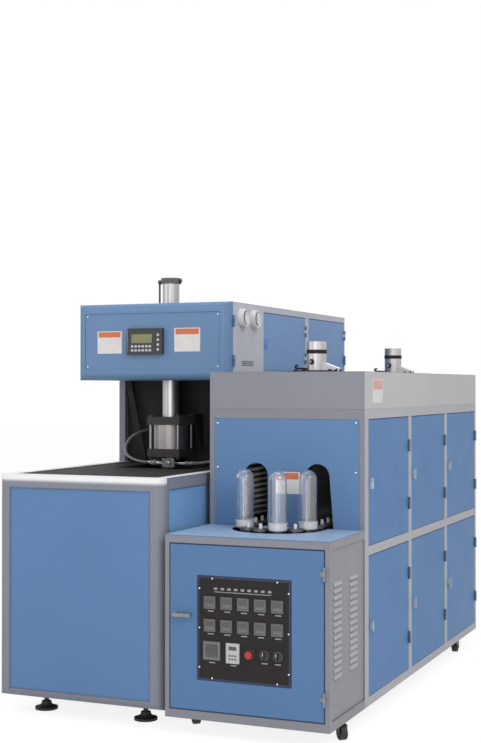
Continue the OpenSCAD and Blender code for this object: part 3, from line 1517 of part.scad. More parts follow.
press_frame();
press_panels();
press_deck();
levelling_feet();
column_frame();
clamp_frame();
platen_front();
mould_front();
platen_rear();
mould_rear();
head_shell();
head_front_door();
operator_panel();
head_door_front();
head_door_rear();
pressure_gauges();
stretch_cylinder();
sealing_cylinder();
stretch_rod();
blow_nozzle();
air_hose_left();
air_hose_right();
oven_frame();
oven_hood();
oven_front_panel();
oven_fixed_panels();
oven_door_upper_1();
oven_door_upper_2();
oven_door_upper_3();
oven_door_lower_1();
oven_door_lower_2();
oven_door_lower_3();
step_deck();
step_side_panels();
step_door();
step_door_latch();
control_plate();
panel_meters();
stop_button();
selector_left();
selector_right();
lamp_tubes();
lamp_racks();
carrier_chain();
drive_sprocket();
idler_sprocket();
spindle_1();
spindle_2();
spindle_3();
preform_1();
preform_2();
preform_3();
gear_motor();
blower_motors();
caster_fork_left();
caster_fork_right();
caster_wheel_1();
caster_wheel_2();
caster_wheel_3();
caster_wheel_4();
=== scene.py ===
"""Blow moulding machine: finishes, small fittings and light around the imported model."""

import math

import bmesh
import bpy
from mathutils import Matrix, Vector


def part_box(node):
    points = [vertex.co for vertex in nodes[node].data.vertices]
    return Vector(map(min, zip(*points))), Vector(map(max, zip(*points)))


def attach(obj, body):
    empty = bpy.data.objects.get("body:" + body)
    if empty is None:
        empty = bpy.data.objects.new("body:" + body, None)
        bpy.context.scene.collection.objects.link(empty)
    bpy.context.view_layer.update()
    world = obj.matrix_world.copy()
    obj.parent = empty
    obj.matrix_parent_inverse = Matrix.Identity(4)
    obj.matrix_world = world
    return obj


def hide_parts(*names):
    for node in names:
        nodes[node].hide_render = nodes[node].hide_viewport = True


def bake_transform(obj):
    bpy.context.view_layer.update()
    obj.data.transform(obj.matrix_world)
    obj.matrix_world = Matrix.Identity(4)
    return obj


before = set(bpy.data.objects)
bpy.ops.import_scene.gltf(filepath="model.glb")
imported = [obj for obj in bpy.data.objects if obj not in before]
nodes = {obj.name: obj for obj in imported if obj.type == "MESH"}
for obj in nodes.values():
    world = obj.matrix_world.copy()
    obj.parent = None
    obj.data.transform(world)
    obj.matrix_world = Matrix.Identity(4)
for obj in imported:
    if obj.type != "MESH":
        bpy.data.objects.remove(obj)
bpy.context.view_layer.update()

# Pieces are drawn in millimetres, which mm turns into metres. Camera, lights and shaders are in metres.
mm = 0.001
X, Y, Z = Vector((1, 0, 0)), Vector((0, 1, 0)), Vector((0, 0, 1))
BASE = "machine_base"
DOOR = "step_door_leaf"
HEAD_DOOR = "head_front_cover"
NOZZLE = "nozzle"


# Camera, solved from the photograph

IMAGE_H = 743
FOCAL_PX = 1328.9
SENSOR = 36.0
CAMERA_AT = Vector((2.369, -5.850, 1.359))
CAMERA_YAW = math.radians(23.157)
CAMERA_PITCH = math.radians(0.643)


def make_camera():
    data = bpy.data.cameras.new("photo_camera")
    data.sensor_width = SENSOR
    data.sensor_fit = "AUTO"
    data.lens = SENSOR * FOCAL_PX / IMAGE_H
    camera = bpy.data.objects.new("photo_camera", data)
    camera.location = CAMERA_AT
    camera.rotation_euler = (math.pi / 2 + CAMERA_PITCH, 0, CAMERA_YAW)
    data.clip_end = 60
    bpy.context.scene.collection.objects.link(camera)
    bpy.context.scene.camera = camera


# Materials, each kept by its name in the table of finishes

finishes = {}


class Shader:
    """A material with its Principled shader and short calls for the nodes that feed it."""

    def __init__(self, name, colour, rough=0.5, metal=0.0):
        self.material = bpy.data.materials.new(name)
        self.material.use_nodes = True
        self.tree = self.material.node_tree
        self.bsdf = self.tree.nodes["Principled BSDF"]
        self.colour = (*colour, 1)
        self.bsdf.inputs["Base Color"].default_value = self.colour
        self.bsdf.inputs["Roughness"].default_value = rough
        self.bsdf.inputs["Metallic"].default_value = metal
        self.normals = []
        finishes[name] = self.material

    def node(self, kind, **values):
        """A node whose keywords are its own settings or, by their titles, its inputs."""
        made = self.tree.nodes.new(kind)
        for key, value in values.items():
            if hasattr(made, key):
                setattr(made, key, value)
            else:
                made.inputs[key.replace("_", " ").title()].default_value = value
        return made

    def link(self, a, b):
        self.tree.links.new(a, b)

    def position(self, stretch=(1, 1, 1)):
        where = self.node("ShaderNodeTexCoord")
        mapping = self.node("ShaderNodeMapping")
        mapping.inputs["Scale"].default_value = stretch
        self.link(where.outputs["Object"], mapping.inputs["Vector"])
        return mapping.outputs["Vector"]

    def noise(self, scale, detail=2.0, stretch=(1, 1, 1)):
        made = self.node("ShaderNodeTexNoise", Scale=scale, Detail=detail)
        self.link(self.position(stretch), made.inputs["Vector"])
        return made.outputs["Fac"]

    def ramp(self, fac, low, high, start, end):
        made = self.node("ShaderNodeValToRGB")
        made.color_ramp.elements[0].color = (*low, 1)
        made.color_ramp.elements[0].position = start
        made.color_ramp.elements[1].color = (*high, 1)
        made.color_ramp.elements[1].position = end
        self.link(fac, made.inputs["Fac"])
        return made.outputs["Color"]

    def mottle(self, scale, amount):
        """Varies the base colour up and down by a small share."""
        low = tuple(c * (1 - amount) for c in self.colour[:3])
        high = tuple(min(1, c * (1 + amount)) for c in self.colour[:3])
        varied = self.ramp(self.noise(scale, 4), low, high, 0.3, 0.7)
        self.link(varied, self.bsdf.inputs["Base Color"])
        return self

    def rough_range(self, low, high, scale, stretch=(1, 1, 1)):
        made = self.node("ShaderNodeMapRange")
        made.inputs["To Min"].default_value = low
        made.inputs["To Max"].default_value = high
        self.link(self.noise(scale, 3, stretch), made.inputs["Value"])
        self.link(made.outputs["Result"], self.bsdf.inputs["Roughness"])
        return self

    def bump(self, scale, strength, distance, stretch=(1, 1, 1)):
        """Adds a bump on top of whatever bends the normal already."""
        made = self.node("ShaderNodeBump", Strength=strength, Distance=distance)
        self.link(self.noise(scale, 2, stretch), made.inputs["Height"])
        if self.normals:
            self.link(self.normals[-1], made.inputs["Normal"])
        self.normals.append(made.outputs["Normal"])
        self.link(made.outputs["Normal"], self.bsdf.inputs["Normal"])
        return self

    def rounded(self, radius):
        """Lets sheet edges catch the light as a small radius does."""
        made = self.node("ShaderNodeBevel")
        made.samples = 4
        made.inputs["Radius"].default_value = radius
        self.normals.append(made.outputs["Normal"])
        return self

    def fade(self, colour, rise, reach):
        """Blends to another colour over a span of heights, in front of a given depth only, to paint in a
        highlight.
        """
        parts = self.node("ShaderNodeSeparateXYZ")
        self.link(self.position(), parts.inputs["Vector"])
        high = self.node("ShaderNodeMapRange", interpolation_type="SMOOTHSTEP")
        high.inputs["From Min"].default_value = rise[0]
        high.inputs["From Max"].default_value = rise[1]
        self.link(parts.outputs["Z"], high.inputs["Value"])
        ahead = self.node("ShaderNodeMath", operation="LESS_THAN")
        ahead.inputs[1].default_value = reach
        self.link(parts.outputs["Y"], ahead.inputs[0])
        share = self.node("ShaderNodeMath", operation="MULTIPLY")
        self.link(high.outputs["Result"], share.inputs[0])
        self.link(ahead.outputs["Value"], share.inputs[1])
        mix = self.node("ShaderNodeMixRGB")
        mix.inputs["Color2"].default_value = (*colour, 1)
        self.link(share.outputs["Value"], mix.inputs["Fac"])
        self.link(self.bsdf.inputs["Base Color"].links[0].from_socket, mix.inputs["Color1"])
        self.link(mix.outputs["Color"], self.bsdf.inputs["Base Color"])
        return self

    def value(self, name, number):
        self.bsdf.inputs[name].default_value = number
        return self


def powder_coat(name, colour, rough=0.42, edge=0.0016):
    """Oven-baked paint: fine orange peel and a slight drift of colour over a large sheet."""
    made = Shader(name, colour, rough).mottle(1.7, 0.035)
    made.rough_range(rough - 0.06, rough + 0.08, 9).rounded(edge)
    made.bump(520, 0.10, 0.0006).bump(3.5, 0.05, 0.004)
    return made.value("Specular IOR Level", 0.14)


def machined(name, colour, rough, stretch=(1, 1, 60)):
    """Turned or ground metal, with its marks across the given direction."""
    made = Shader(name, colour, rough, 1.0).mottle(14, 0.06)
    made.rough_range(rough - 0.08, rough + 0.12, 30, stretch).bump(16, 0.12, 0.0004, stretch)


def moulded(name, colour, rough):
    Shader(name, colour, rough).mottle(20, 0.05).bump(900, 0.12, 0.0004)


def clear(name, colour, rough, ior, transmission):
    made = Shader(name, colour, rough).bump(60, 0.03, 0.0005)
    made.value("IOR", ior).value("Transmission Weight", transmission)


def blackened(name, colour, rough=0.5):
    made = Shader(name, colour, rough, 0.75).mottle(35, 0.25)
    made.rough_range(rough - 0.12, rough + 0.15, 60).bump(220, 0.15, 0.0006)


GREY = (0.242, 0.250, 0.290)
# Painted highlight: the press rim's top faces and the rounded top of its front rail are painted near white
# where the light catches them.
RIM_HIGHLIGHT = (0.86, 0.85, 0.85)
RIM_HIGHLIGHT_RISE = (0.962, 0.980)
RIM_HIGHLIGHT_REACH = -1.10

for name, colour, rough in (
        ("paint_blue", (0.120, 0.226, 0.415), 0.42),
        ("paint_blue_step", (0.102, 0.200, 0.372), 0.42),
        ("paint_blue_side", (0.078, 0.208, 0.445), 0.42),
        ("paint_blue_front", (0.128, 0.236, 0.420), 0.42),
        ("paint_blue_head", (0.162, 0.268, 0.445), 0.42),
        # A lighter copy of the blue for the press panels' right-facing faces: the light on that side is
        # painted in.
        ("paint_blue_lit_right_side", (0.200, 0.380, 0.640), 0.42),
        # A lighter copy of the blue for the head's side doors: the light on that upper right side is painted
        # in.
        ("paint_blue_head_lit_side", (0.195, 0.335, 0.600), 0.42),
        ("paint_grey", GREY, 0.45),
        ("paint_grey_oven", (0.252, 0.254, 0.286), 0.45),
        ("paint_grey_step", (0.305, 0.298, 0.320), 0.45),
        # A pale grey for the louvres' sloped faces: a painted highlight.
        ("paint_louvre_highlight", (0.46, 0.455, 0.465), 0.45),
        # Near white on the press rim's top faces: a painted highlight.
        ("paint_rim_highlight", RIM_HIGHLIGHT, 0.45),
        ("paint_hood", (0.270, 0.272, 0.306), 0.45),
        # A lighter copy of the hood grey for its right-facing faces: the light on that side is painted in.
        ("paint_hood_lit_side", (0.545, 0.540, 0.545), 0.45),
        # A lighter copy of the grey for the oven frame's right-facing faces: the light on that side is
        # painted in.
        ("paint_grey_oven_lit_side", (0.470, 0.470, 0.495), 0.45),
        # A lighter copy of the grey for the head's right-facing faces and its upper hinges: the light on
        # that side is painted in.
        ("paint_grey_head_lit_side", (0.565, 0.575, 0.630), 0.45),
        ("hinge_blue", (0.125, 0.200, 0.330), 0.42),
        ("paint_black", (0.033, 0.029, 0.030), 0.78),
        ("plate_worn", (0.062, 0.056, 0.054), 0.6),
        ("plate_black", (0.024, 0.020, 0.020), 0.5),
        ("casting", (0.10, 0.14, 0.17), 0.5),
        ("cap_grey", (0.14, 0.135, 0.135), 0.4),
        ("chute_white", (0.72, 0.73, 0.75), 0.4),
        # A dark blue for the painted shade in the fold round the head door's recess.
        ("recess_shade_blue", (0.050, 0.100, 0.200), 0.5)):
    powder_coat(name, colour, rough)
# A lighter blue for the step deck's top: the light from above is painted in.
powder_coat("paint_blue_deck_lit_top", (0.33, 0.46, 0.66), edge=0.005)
# The press frame's paint fades to near white at the top of its front rail: a painted highlight on a rounded
# edge.
powder_coat("paint_press_frame_highlit", GREY, 0.45, 0.012).fade(RIM_HIGHLIGHT, RIM_HIGHLIGHT_RISE, RIM_HIGHLIGHT_REACH)

machined("steel", (0.62, 0.62, 0.63), 0.27)
machined("soft_steel", (0.30, 0.288, 0.280), 0.44)
machined("fitting_steel", (0.20, 0.195, 0.19), 0.40)
machined("latch_metal", (0.24, 0.24, 0.245), 0.42)
machined("blower_metal", (0.50, 0.49, 0.49), 0.40, (50, 50, 1))
machined("extrusion", (0.43, 0.42, 0.43), 0.34, (40, 40, 1))
machined("aluminium", (0.74, 0.75, 0.76), 0.33, (1, 1, 80))
bright_metal = Shader("bright", (0.80, 0.80, 0.82), 0.12, 1.0)
bright_metal.rough_range(0.06, 0.2, 24).bump(40, 0.05, 0.0006)

blackened("hinge_grey", (0.16, 0.20, 0.27), 0.45)
blackened("latch_blue", (0.34, 0.42, 0.52), 0.4)
blackened("dark_steel", (0.10, 0.10, 0.105))
blackened("link_steel", (0.15, 0.15, 0.155), 0.4)

for name, colour, rough in (
        ("black_plastic", (0.030, 0.030, 0.032), 0.42),
        ("grey_plastic", (0.115, 0.115, 0.12), 0.45),
        ("pale_plastic", (0.48, 0.48, 0.465), 0.45),
        ("key_plastic", (0.55, 0.56, 0.58), 0.5),
        ("red_plastic", (0.42, 0.030, 0.025), 0.3),
        ("ceramic", (0.34, 0.32, 0.30), 0.6),
        ("tip_white", (0.80, 0.80, 0.79), 0.35),
        ("dial_white", (0.80, 0.80, 0.77), 0.55),
        ("label_white", (0.74, 0.70, 0.68), 0.5),
        ("label_orange", (0.62, 0.17, 0.07), 0.5),
        ("label_pink", (0.72, 0.36, 0.33), 0.5),
        ("ink", (0.06, 0.055, 0.05), 0.6),
        ("meter_grey", (0.118, 0.116, 0.108), 0.5),
        ("meter_key", (0.21, 0.21, 0.20), 0.5),
        ("timer_grey", (0.070, 0.070, 0.068), 0.5),
        ("digit_pale", (0.20, 0.20, 0.19), 0.4),
        ("caption_pale", (0.34, 0.33, 0.31), 0.6),
        ("title_grey", (0.30, 0.29, 0.27), 0.6),
        ("frame_pale", (0.235, 0.24, 0.24), 0.45),
        # A dark navy for thin strips of painted shade in gaps and round the control plate.
        ("painted_gap_shade", (0.020, 0.028, 0.075), 0.6)):
    moulded(name, colour, rough)

Shader("rubber", (0.020, 0.020, 0.021), 0.62).mottle(60, 0.2).bump(700, 0.25, 0.0005)
hose_skin = Shader("hose_skin", (0.175, 0.170, 0.165), 0.28).mottle(80, 0.2)
hose_skin.bump(350, 0.2, 0.0004).value("Coat Weight", 0.6)
Shader("screen_green", (0.22, 0.22, 0.085), 0.25).mottle(60, 0.08).value("Coat Weight", 0.5)
Shader("window_dark", (0.055, 0.058, 0.056), 0.2).mottle(50, 0.1).value("Coat Weight", 0.4)

clear("quartz", (0.86, 0.84, 0.80), 0.16, 1.46, 0.35)
clear("resin", (0.95, 0.955, 0.98), 0.03, 1.50, 0.95)
clear("frosted", (0.97, 0.97, 0.98), 0.35, 1.45, 0.35)
clear("lens", (0.97, 0.98, 0.99), 0.02, 1.45, 1.0)


# Building blocks

CORNER_STEPS = 5
SHARP = math.radians(40)


def finish_piece(name, built, finish, body, bevel=0):
    """Turns a bmesh into an object that rides on a body."""
    mesh = bpy.data.meshes.new(name)
    bmesh.ops.recalc_face_normals(built, faces=built.faces)
    built.to_mesh(mesh)
    built.free()
    piece = bpy.data.objects.new(name, mesh)
    bpy.context.scene.collection.objects.link(piece)
    mesh.materials.append(finishes[finish])
    if bevel:
        rounding = piece.modifiers.new("edge", "BEVEL")
        rounding.width = bevel * mm
        rounding.segments = 3
        rounding.limit_method = "ANGLE"
        rounding.angle_limit = SHARP
    for face in mesh.polygons:
        face.use_smooth = True
    mesh.set_sharp_from_angle(angle=SHARP)
    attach(piece, body)
    return piece


def spot(x, y, z):
    return Vector((x, y, z)) * mm


def turned_angles(count):
    return [2 * math.pi * k / count for k in range(count)]


def turn_to(axis):
    """Matrix that turns +Z to the given axis."""
    return axis.normalized().to_track_quat("Z", "Y").to_matrix().to_4x4()


def add_lathe(built, at, axis, profile, sides, bored=False):
    """Revolves a profile of (radius, height) round an axis; bored closes it on itself."""
    place = Matrix.Translation(at) @ turn_to(axis)
    rings = []
    for radius, height in profile:
        if radius:
            ring = [(radius * math.cos(a), radius * math.sin(a), height) for a in turned_angles(sides)]
        else:
            ring = [(0, 0, height)]
        rings.append([built.verts.new(place @ spot(*corner)) for corner in ring])
    spans = list(zip(rings, rings[1:])) + ([(rings[-1], rings[0])] if bored else [])
    for low, high in spans:
        for k in range(sides):
            step = k + 1
            corners = [low[k % len(low)], low[step % len(low)], high[step % len(high)], high[k % len(high)]]
            ring = list(dict.fromkeys(corners))
            if len(ring) > 2:
                built.faces.new(ring)
    for ring in (rings[0], rings[-1]):
        if len(ring) > 2 and not bored:
            built.faces.new(ring)


def add_block(built, width, height, radius, depth, place):
    """Extrudes a rectangle with rounded corners along the local +Z of a placement."""
    outline = []
    for cx, cy, start in ((1, 1, 0), (-1, 1, 90), (-1, -1, 180), (1, -1, 270)):
        for k in range(CORNER_STEPS + 1):
            a = math.radians(start + 90 * k / CORNER_STEPS)
            x = cx * (width / 2 - radius) + radius * math.cos(a)
            y = cy * (height / 2 - radius) + radius * math.sin(a)
            outline.append((x, y))
    low = [built.verts.new(place @ spot(x, y, 0)) for x, y in outline]
    high = [built.verts.new(place @ spot(x, y, depth)) for x, y in outline]
    built.faces.new(low)
    built.faces.new(high)
    for k in range(len(low)):
        after = (k + 1) % len(low)
        built.faces.new((low[k], low[after], high[after], high[k]))


def facing(at, out, up=Z):
    """Placement whose local +Z points out of a face and whose local +Y points up."""
    out = out.normalized()
    side = up.cross(out).normalized()
    turned = Matrix((side, out.cross(side), out)).transposed().to_4x4()
    return Matrix.Translation(at) @ turned


def plate(name, at, out, width, height, depth, finish, body, radius=1, bevel=0.2):
    built = bmesh.new()
    add_block(built, width, height, radius, depth, facing(at, out))
    finish_piece(name, built, finish, body, bevel)


def plates(name, places, y, width, height, depth, finish, body, radius=1, bevel=0.15):
    """Equal plates that face the front, one for each (x, z)."""
    built = bmesh.new()
    for x, z in places:
        add_block(built, width, height, radius, depth, facing(spot(x, y, z), -Y))
    finish_piece(name, built, finish, body, bevel)


def pan_heads(name, places, radius, body):
    """Pan head screws that face the front."""
    built = bmesh.new()
    arc = [math.radians(18 * k) for k in range(5)]
    top = radius * 0.55
    dome = [(radius * math.cos(a), top * math.sin(a)) for a in arc]
    for x, y, z in places:
        add_lathe(built, spot(x, y, z), -Y, [(0, 0)] + dome + [(0, top)], 16)
    finish_piece(name, built, "bright", body)


def smooth_route(points, steps):
    """The same rounding between given points as the solids have."""
    made = []
    last = len(points) - 1
    for i in range(last):
        a, b, c, d = points[max(i - 1, 0)], points[i], points[i + 1], points[min(i + 2, last)]
        for k in range(steps):
            t = k / steps
            square = (2 * a - 5 * b + 4 * c - d) * t * t
            cube = (3 * b - a - 3 * c + d) * t ** 3
            made.append(0.5 * (2 * b + (c - a) * t + square + cube))
    return made + [points[-1]]


def add_tube(built, path, radius, sides, out=None, into=None):
    """Sweeps a ring along a path; out and into square its two ends to what they meet."""
    normal = Vector((0, 1, 0.2))
    rings = []
    for i, at in enumerate(path):
        ahead = (path[min(i + 1, len(path) - 1)] - path[max(i - 1, 0)]).normalized()
        if i == 0 and out:
            ahead = out
        if i == len(path) - 1 and into:
            ahead = into
        normal = (normal - normal.dot(ahead) * ahead).normalized()
        side = ahead.cross(normal)
        ring = [math.cos(a) * normal + math.sin(a) * side for a in turned_angles(sides)]
        rings.append([built.verts.new(at + radius * mm * arm) for arm in ring])
    for low, high in zip(rings, rings[1:]):
        for k in range(sides):
            after = (k + 1) % sides
            built.faces.new((low[k], low[after], high[after], high[k]))
    built.faces.new(rings[0])
    built.faces.new(rings[-1])


# Air hoses between the nozzle's ports and the column

HOSE_R = 7
LEFT_ROUTE = ((-474.3, -289, 1005), (-524, -287, 1008), (-571, -278, 1019), (-611, -259, 1042),
    (-628, -231, 1077), (-618, -199, 1114), (-593, -165, 1138), (-570, -122, 1149), (-563, -73.3, 1152))
RIGHT_ROUTE = ((-247.7, -289, 1005), (-200, -287, 1008), (-155, -278, 1017), (-116, -260, 1037),
    (-97, -229, 1066), (-102, -193, 1096), (-122, -156, 1117), (-147, -118, 1131), (-160, -73.3, 1136))


def air_hose(name, node, route, out):
    path = smooth_route([spot(*at) for at in route], 10)
    built = bmesh.new()
    add_tube(built, path, HOSE_R, 20, out, Y)
    piece = finish_piece(name, built, "hose_skin", BASE)
    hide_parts(node)
    piece.parent = None
    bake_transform(piece)


make_camera()
air_hose("left_air_hose", "air_hose_left", LEFT_ROUTE, -X)
air_hose("right_air_hose", "air_hose_right", RIGHT_ROUTE, X)


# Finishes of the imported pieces


def dress(finish, *names):
    for name in names:
        slots = nodes[name].data.materials
        slots.clear()
        slots.append(finishes[finish])


def second_finish(name, finish, chosen):
    """Gives a second finish to the faces whose centre, in millimetres, and normal suit a rule."""
    mesh = nodes[name].data
    mesh.materials.append(finishes[finish])
    index = len(mesh.materials) - 1
    for face in mesh.polygons:
        if chosen([v / mm for v in face.center], face.normal):
            face.material_index = index


OVEN_DOORS = ["oven_door_%s_%d" % (row, k) for row in ("upper", "lower") for k in (1, 2, 3)]
HEAD_DOORS = ["head_door_front", "head_door_rear"]
SPINDLES = ["spindle_%d" % k for k in (1, 2, 3)]
PREFORMS = ["preform_%d" % k for k in (1, 2, 3)]
WHEELS = ["caster_wheel_%d" % k for k in (1, 2, 3, 4)]

# The press frame's paint carries a painted highlight along the top of its front rail.
dress("paint_press_frame_highlit", "press_frame")
dress("paint_grey", "head_shell", "column_frame")
dress("paint_grey_oven", "oven_frame")
dress("paint_grey_step", "step_side_panels")
dress("paint_hood", "oven_hood")
dress("paint_blue", "press_panels", "oven_fixed_panels")
dress("paint_blue_step", "step_door")
dress("paint_blue_front", "oven_front_panel", "step_deck")
dress("paint_blue_side", *OVEN_DOORS)
dress("paint_blue_head", "head_front_door")
# Painted light: the head's side doors take a lighter copy of the head door's blue.
dress("paint_blue_head_lit_side", *HEAD_DOORS)
dress("paint_black", "press_deck")
dress("plate_black", "control_plate")
dress("rubber", "levelling_feet", *WHEELS)
dress("dark_steel", "clamp_frame", "platen_front", "platen_rear", "caster_fork_left", "caster_fork_right")
dress("link_steel", "carrier_chain", "drive_sprocket", "idler_sprocket")
dress("aluminium", "mould_front", "mould_rear")
dress("steel", "lamp_racks")
dress("fitting_steel", "blow_nozzle")
dress("soft_steel", "sealing_cylinder", "stretch_rod")
dress("extrusion", "stretch_cylinder")
dress("blower_metal", "blower_motors")
dress("latch_metal", "step_door_latch")
dress("chute_white", "pressure_gauges")
dress("bright", *SPINDLES)
dress("black_plastic", "operator_panel", "selector_left", "selector_right")
dress("grey_plastic", "panel_meters")
dress("red_plastic", "stop_button")
dress("quartz", "lamp_tubes")
dress("resin", *PREFORMS)
dress("casting", "gear_motor")


# Second finishes on imported pieces: hinges, latches, end plates, neck rings and bands, and painted light:
# lighter copies of paints on faces turned to the light, and painted highlights.
# The constants are places on those pieces; PROUD is how far a fitting at least stands off a face.

PROUD = 0.2
POST = 32.5
COLUMN_Y0, COLUMN_Y1 = -89, 1102
PRESS_X0, PRESS_XM, PRESS_X1 = -741, -361, 19
OVEN_XM, OVEN_X1 = 385.5, 727
STEP_Y0, STEP_Y1 = -1166, -743
SEAL = (1071.5, 1181.5)
NECK_TOP, PLUG_TOP = 820, 793.2
ROOF = 1420.3
CAP_LOW = 1835.5
RIM_LOW = 930
FORK_TOP = 66.9
LOUVRE_X = OVEN_X1 - 6
HINGE_SPLIT = 1560
HEAD_HINGE_Y = -380
LATCH_SPAN = 80
CROSS_REACH, STRETCH_REACH = 45, 43.8
BLOWERS = (-364, 799)
FLANGE_TOP = ROOF + 9.5
CHUTE_X = OVEN_XM + 44.5
BAND, BAND_R = (1502, 1520), 43.2
SCREEN_X1, SCREEN_Z = -348, (1554, 1596)
KEYS_X1, KEYS_Y, KEYS_Z = -340, (-510.5, -509.5), (1516, 1546)
SIDE_KEYS_X = (-326, -312)
KEYPAD_AT, KEYPAD_HALF = (335.5, 336), (28, 39)
DIAL_X = (44.5, 45.5)


def within(value, span):
    return span[0] < value < span[1]


def to_the_right(at, normal):
    return normal[0] > 0.9


def upward(at, normal):
    return normal[2] > 0.9


def on_oven_side(at, normal):
    """Hinges and latches that stand proud of the oven's right side."""
    return at[0] > OVEN_X1 + PROUD


def on_press_side(at, normal):
    """The same on the press's right side."""
    return at[0] > PRESS_X1 + PROUD


# The sloped louvre faces that take a painted highlight.
def on_louvre(at, normal):
    return at[0] > LOUVRE_X and 0.1 < normal[0] < 0.99 and normal[2] > 0.1


def off_the_posts(at, normal):
    beside = not within(at[0], (PRESS_X0 + POST, PRESS_X1 - POST))
    along = not within(at[1], (COLUMN_Y0 + POST, COLUMN_Y1 - POST))
    return not (beside and along)


def on_blower_base_or_band(at, normal):
    from_axis = min(math.hypot(at[0] - OVEN_XM, at[1] - y) for y in BLOWERS)
    return at[2] < FLANGE_TOP or within(at[2], BAND) and from_axis > BAND_R


def on_screen(at, normal):
    return at[1] < KEYS_Y[1] and within(at[2], SCREEN_Z) and at[0] < SCREEN_X1


def on_keys(at, normal):
    lower = within(at[2], KEYS_Z) and at[0] < KEYS_X1
    return within(at[1], KEYS_Y) and (lower or within(at[0], SIDE_KEYS_X))


def on_keypad(at, normal):
    return abs(at[0] - KEYPAD_AT[0]) < KEYPAD_HALF[0] and abs(at[2] - KEYPAD_AT[1]) < KEYPAD_HALF[1]


# Painted light: the step deck's upward faces take a lighter blue.
second_finish("step_deck", "paint_blue_deck_lit_top", upward)
# Painted light: the oven frame's right-facing faces take a lighter copy of its grey.
second_finish("oven_frame", "paint_grey_oven_lit_side", to_the_right)
# Painted light: the hood's right-facing faces take a lighter copy of its grey.
second_finish("oven_hood", "paint_hood_lit_side", to_the_right)
# Painted highlight on the press rim's upward faces.
second_finish("press_frame", "paint_rim_highlight", lambda at, n: upward(at, n) and at[2] > RIM_LOW)
# Painted light: the press panels' right-facing faces take a lighter copy of the blue.
second_finish("press_panels", "paint_blue_lit_right_side", to_the_right)
# Painted highlight on the sloped faces of the louvres.
second_finish("step_side_panels", "paint_louvre_highlight", on_louvre)
# Painted light: the head's right-facing faces take a lighter copy of its grey.
second_finish("head_shell", "paint_grey_head_lit_side", to_the_right)
second_finish("column_frame", "paint_black", off_the_posts)
second_finish("sealing_cylinder", "plate_worn", lambda at, n: not within(at[2], SEAL))
second_finish("blow_nozzle", "bright", lambda at, n: abs(at[0] - PRESS_XM) > CROSS_REACH)
second_finish("stretch_cylinder", "cap_grey", lambda at, n: at[2] > CAP_LOW)
second_finish("stretch_cylinder", "black_plastic", lambda at, n: abs(at[0] - PRESS_XM) > STRETCH_REACH)
second_finish("oven_frame", "paint_grey_step", lambda at, n: to_the_right(at, n) and at[1] < STEP_Y1)
second_finish("oven_frame", "hinge_grey", on_oven_side)
second_finish("oven_frame", "dark_steel", lambda at, n: at[2] < FORK_TOP)
for door in OVEN_DOORS:
    latch_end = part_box(door)[0][1] / mm + LATCH_SPAN
    second_finish(door, "latch_blue", on_oven_side)
    second_finish(door, "hinge_grey", lambda at, n, end=latch_end: on_oven_side(at, n) and at[1] > end)
# The head doors' upper hinge parts take the head's lit-side grey, so the light on that side is painted into
# them too.
for door, finish in zip(HEAD_DOORS, ("paint_grey_head_lit_side", "hinge_grey")):
    latch_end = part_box(door)[0][1] / mm + LATCH_SPAN
    second_finish(door, "paint_grey_head_lit_side", lambda at, n, end=latch_end: on_press_side(at, n) and at[1] > end)
    second_finish(door, finish, lambda at, n, end=latch_end: on_press_side(at, n) and at[1] > end
        and at[2] < HINGE_SPLIT)
second_finish("head_front_door", "hinge_blue", on_press_side)
second_finish("head_shell", "hinge_grey", lambda at, n: on_press_side(at, n)
    and (at[2] < HINGE_SPLIT or at[1] < HEAD_HINGE_Y))
second_finish("step_door", "paint_grey_step", lambda at, n: on_oven_side(at, n)
    or at[1] < STEP_Y0 - 2 * PROUD)
for preform in PREFORMS:
    second_finish(preform, "frosted", lambda at, n: at[2] < NECK_TOP)
for spindle in SPINDLES:
    second_finish(spindle, "link_steel", lambda at, n: at[2] < PLUG_TOP)
for piece in SPINDLES + ["carrier_chain"]:
    second_finish(piece, "tip_white", lambda at, n: at[2] > PLUG_TOP)
second_finish("blower_motors", "paint_black", on_blower_base_or_band)
second_finish("blower_motors", "chute_white", lambda at, n: at[0] > CHUTE_X and at[2] > FLANGE_TOP)
second_finish("operator_panel", "screen_green", on_screen)
second_finish("operator_panel", "key_plastic", on_keys)
second_finish("panel_meters", "pale_plastic", on_keypad)
second_finish("pressure_gauges", "dial_white", lambda at, n: within(at[0], DIAL_X) and to_the_right(at, n))


# Blank two-tone plates where the machine carries its labels

RECESS_Y = -491
OVEN_FRONT_Y = -741
LABEL_T, BAND_T = 0.5, 0.15


def label(name, at, out, width, height, body, band, share=0.24):
    """A pale plate with a coloured band across its top."""
    plate(name + "_plate", at, out, width, height, LABEL_T, "label_white", body, 2, 0.1)
    rise = out * LABEL_T + Z * height * (0.5 - share / 2 - 0.035)
    plate(name + "_band", at + rise * mm, out, width * 0.9, height * share, BAND_T, band, body, 1, 0)


label("head_label_left", spot(-575, RECESS_Y, 1560), -Y, 126, 102, HEAD_DOOR, "label_orange")
label("head_label_right", spot(-182, RECESS_Y, 1568), -Y, 128, 106, HEAD_DOOR, "label_orange")
label("oven_label", spot(393, OVEN_FRONT_Y, 962), -Y, 111, 90, BASE, "label_orange", 0.3)
label("hood_label", spot(OVEN_X1, -566, 1340), X, 138, 96, BASE, "label_pink", 0.40)


# Control plate: screws, meter faces, timer, drive keypad, rings and blank captions

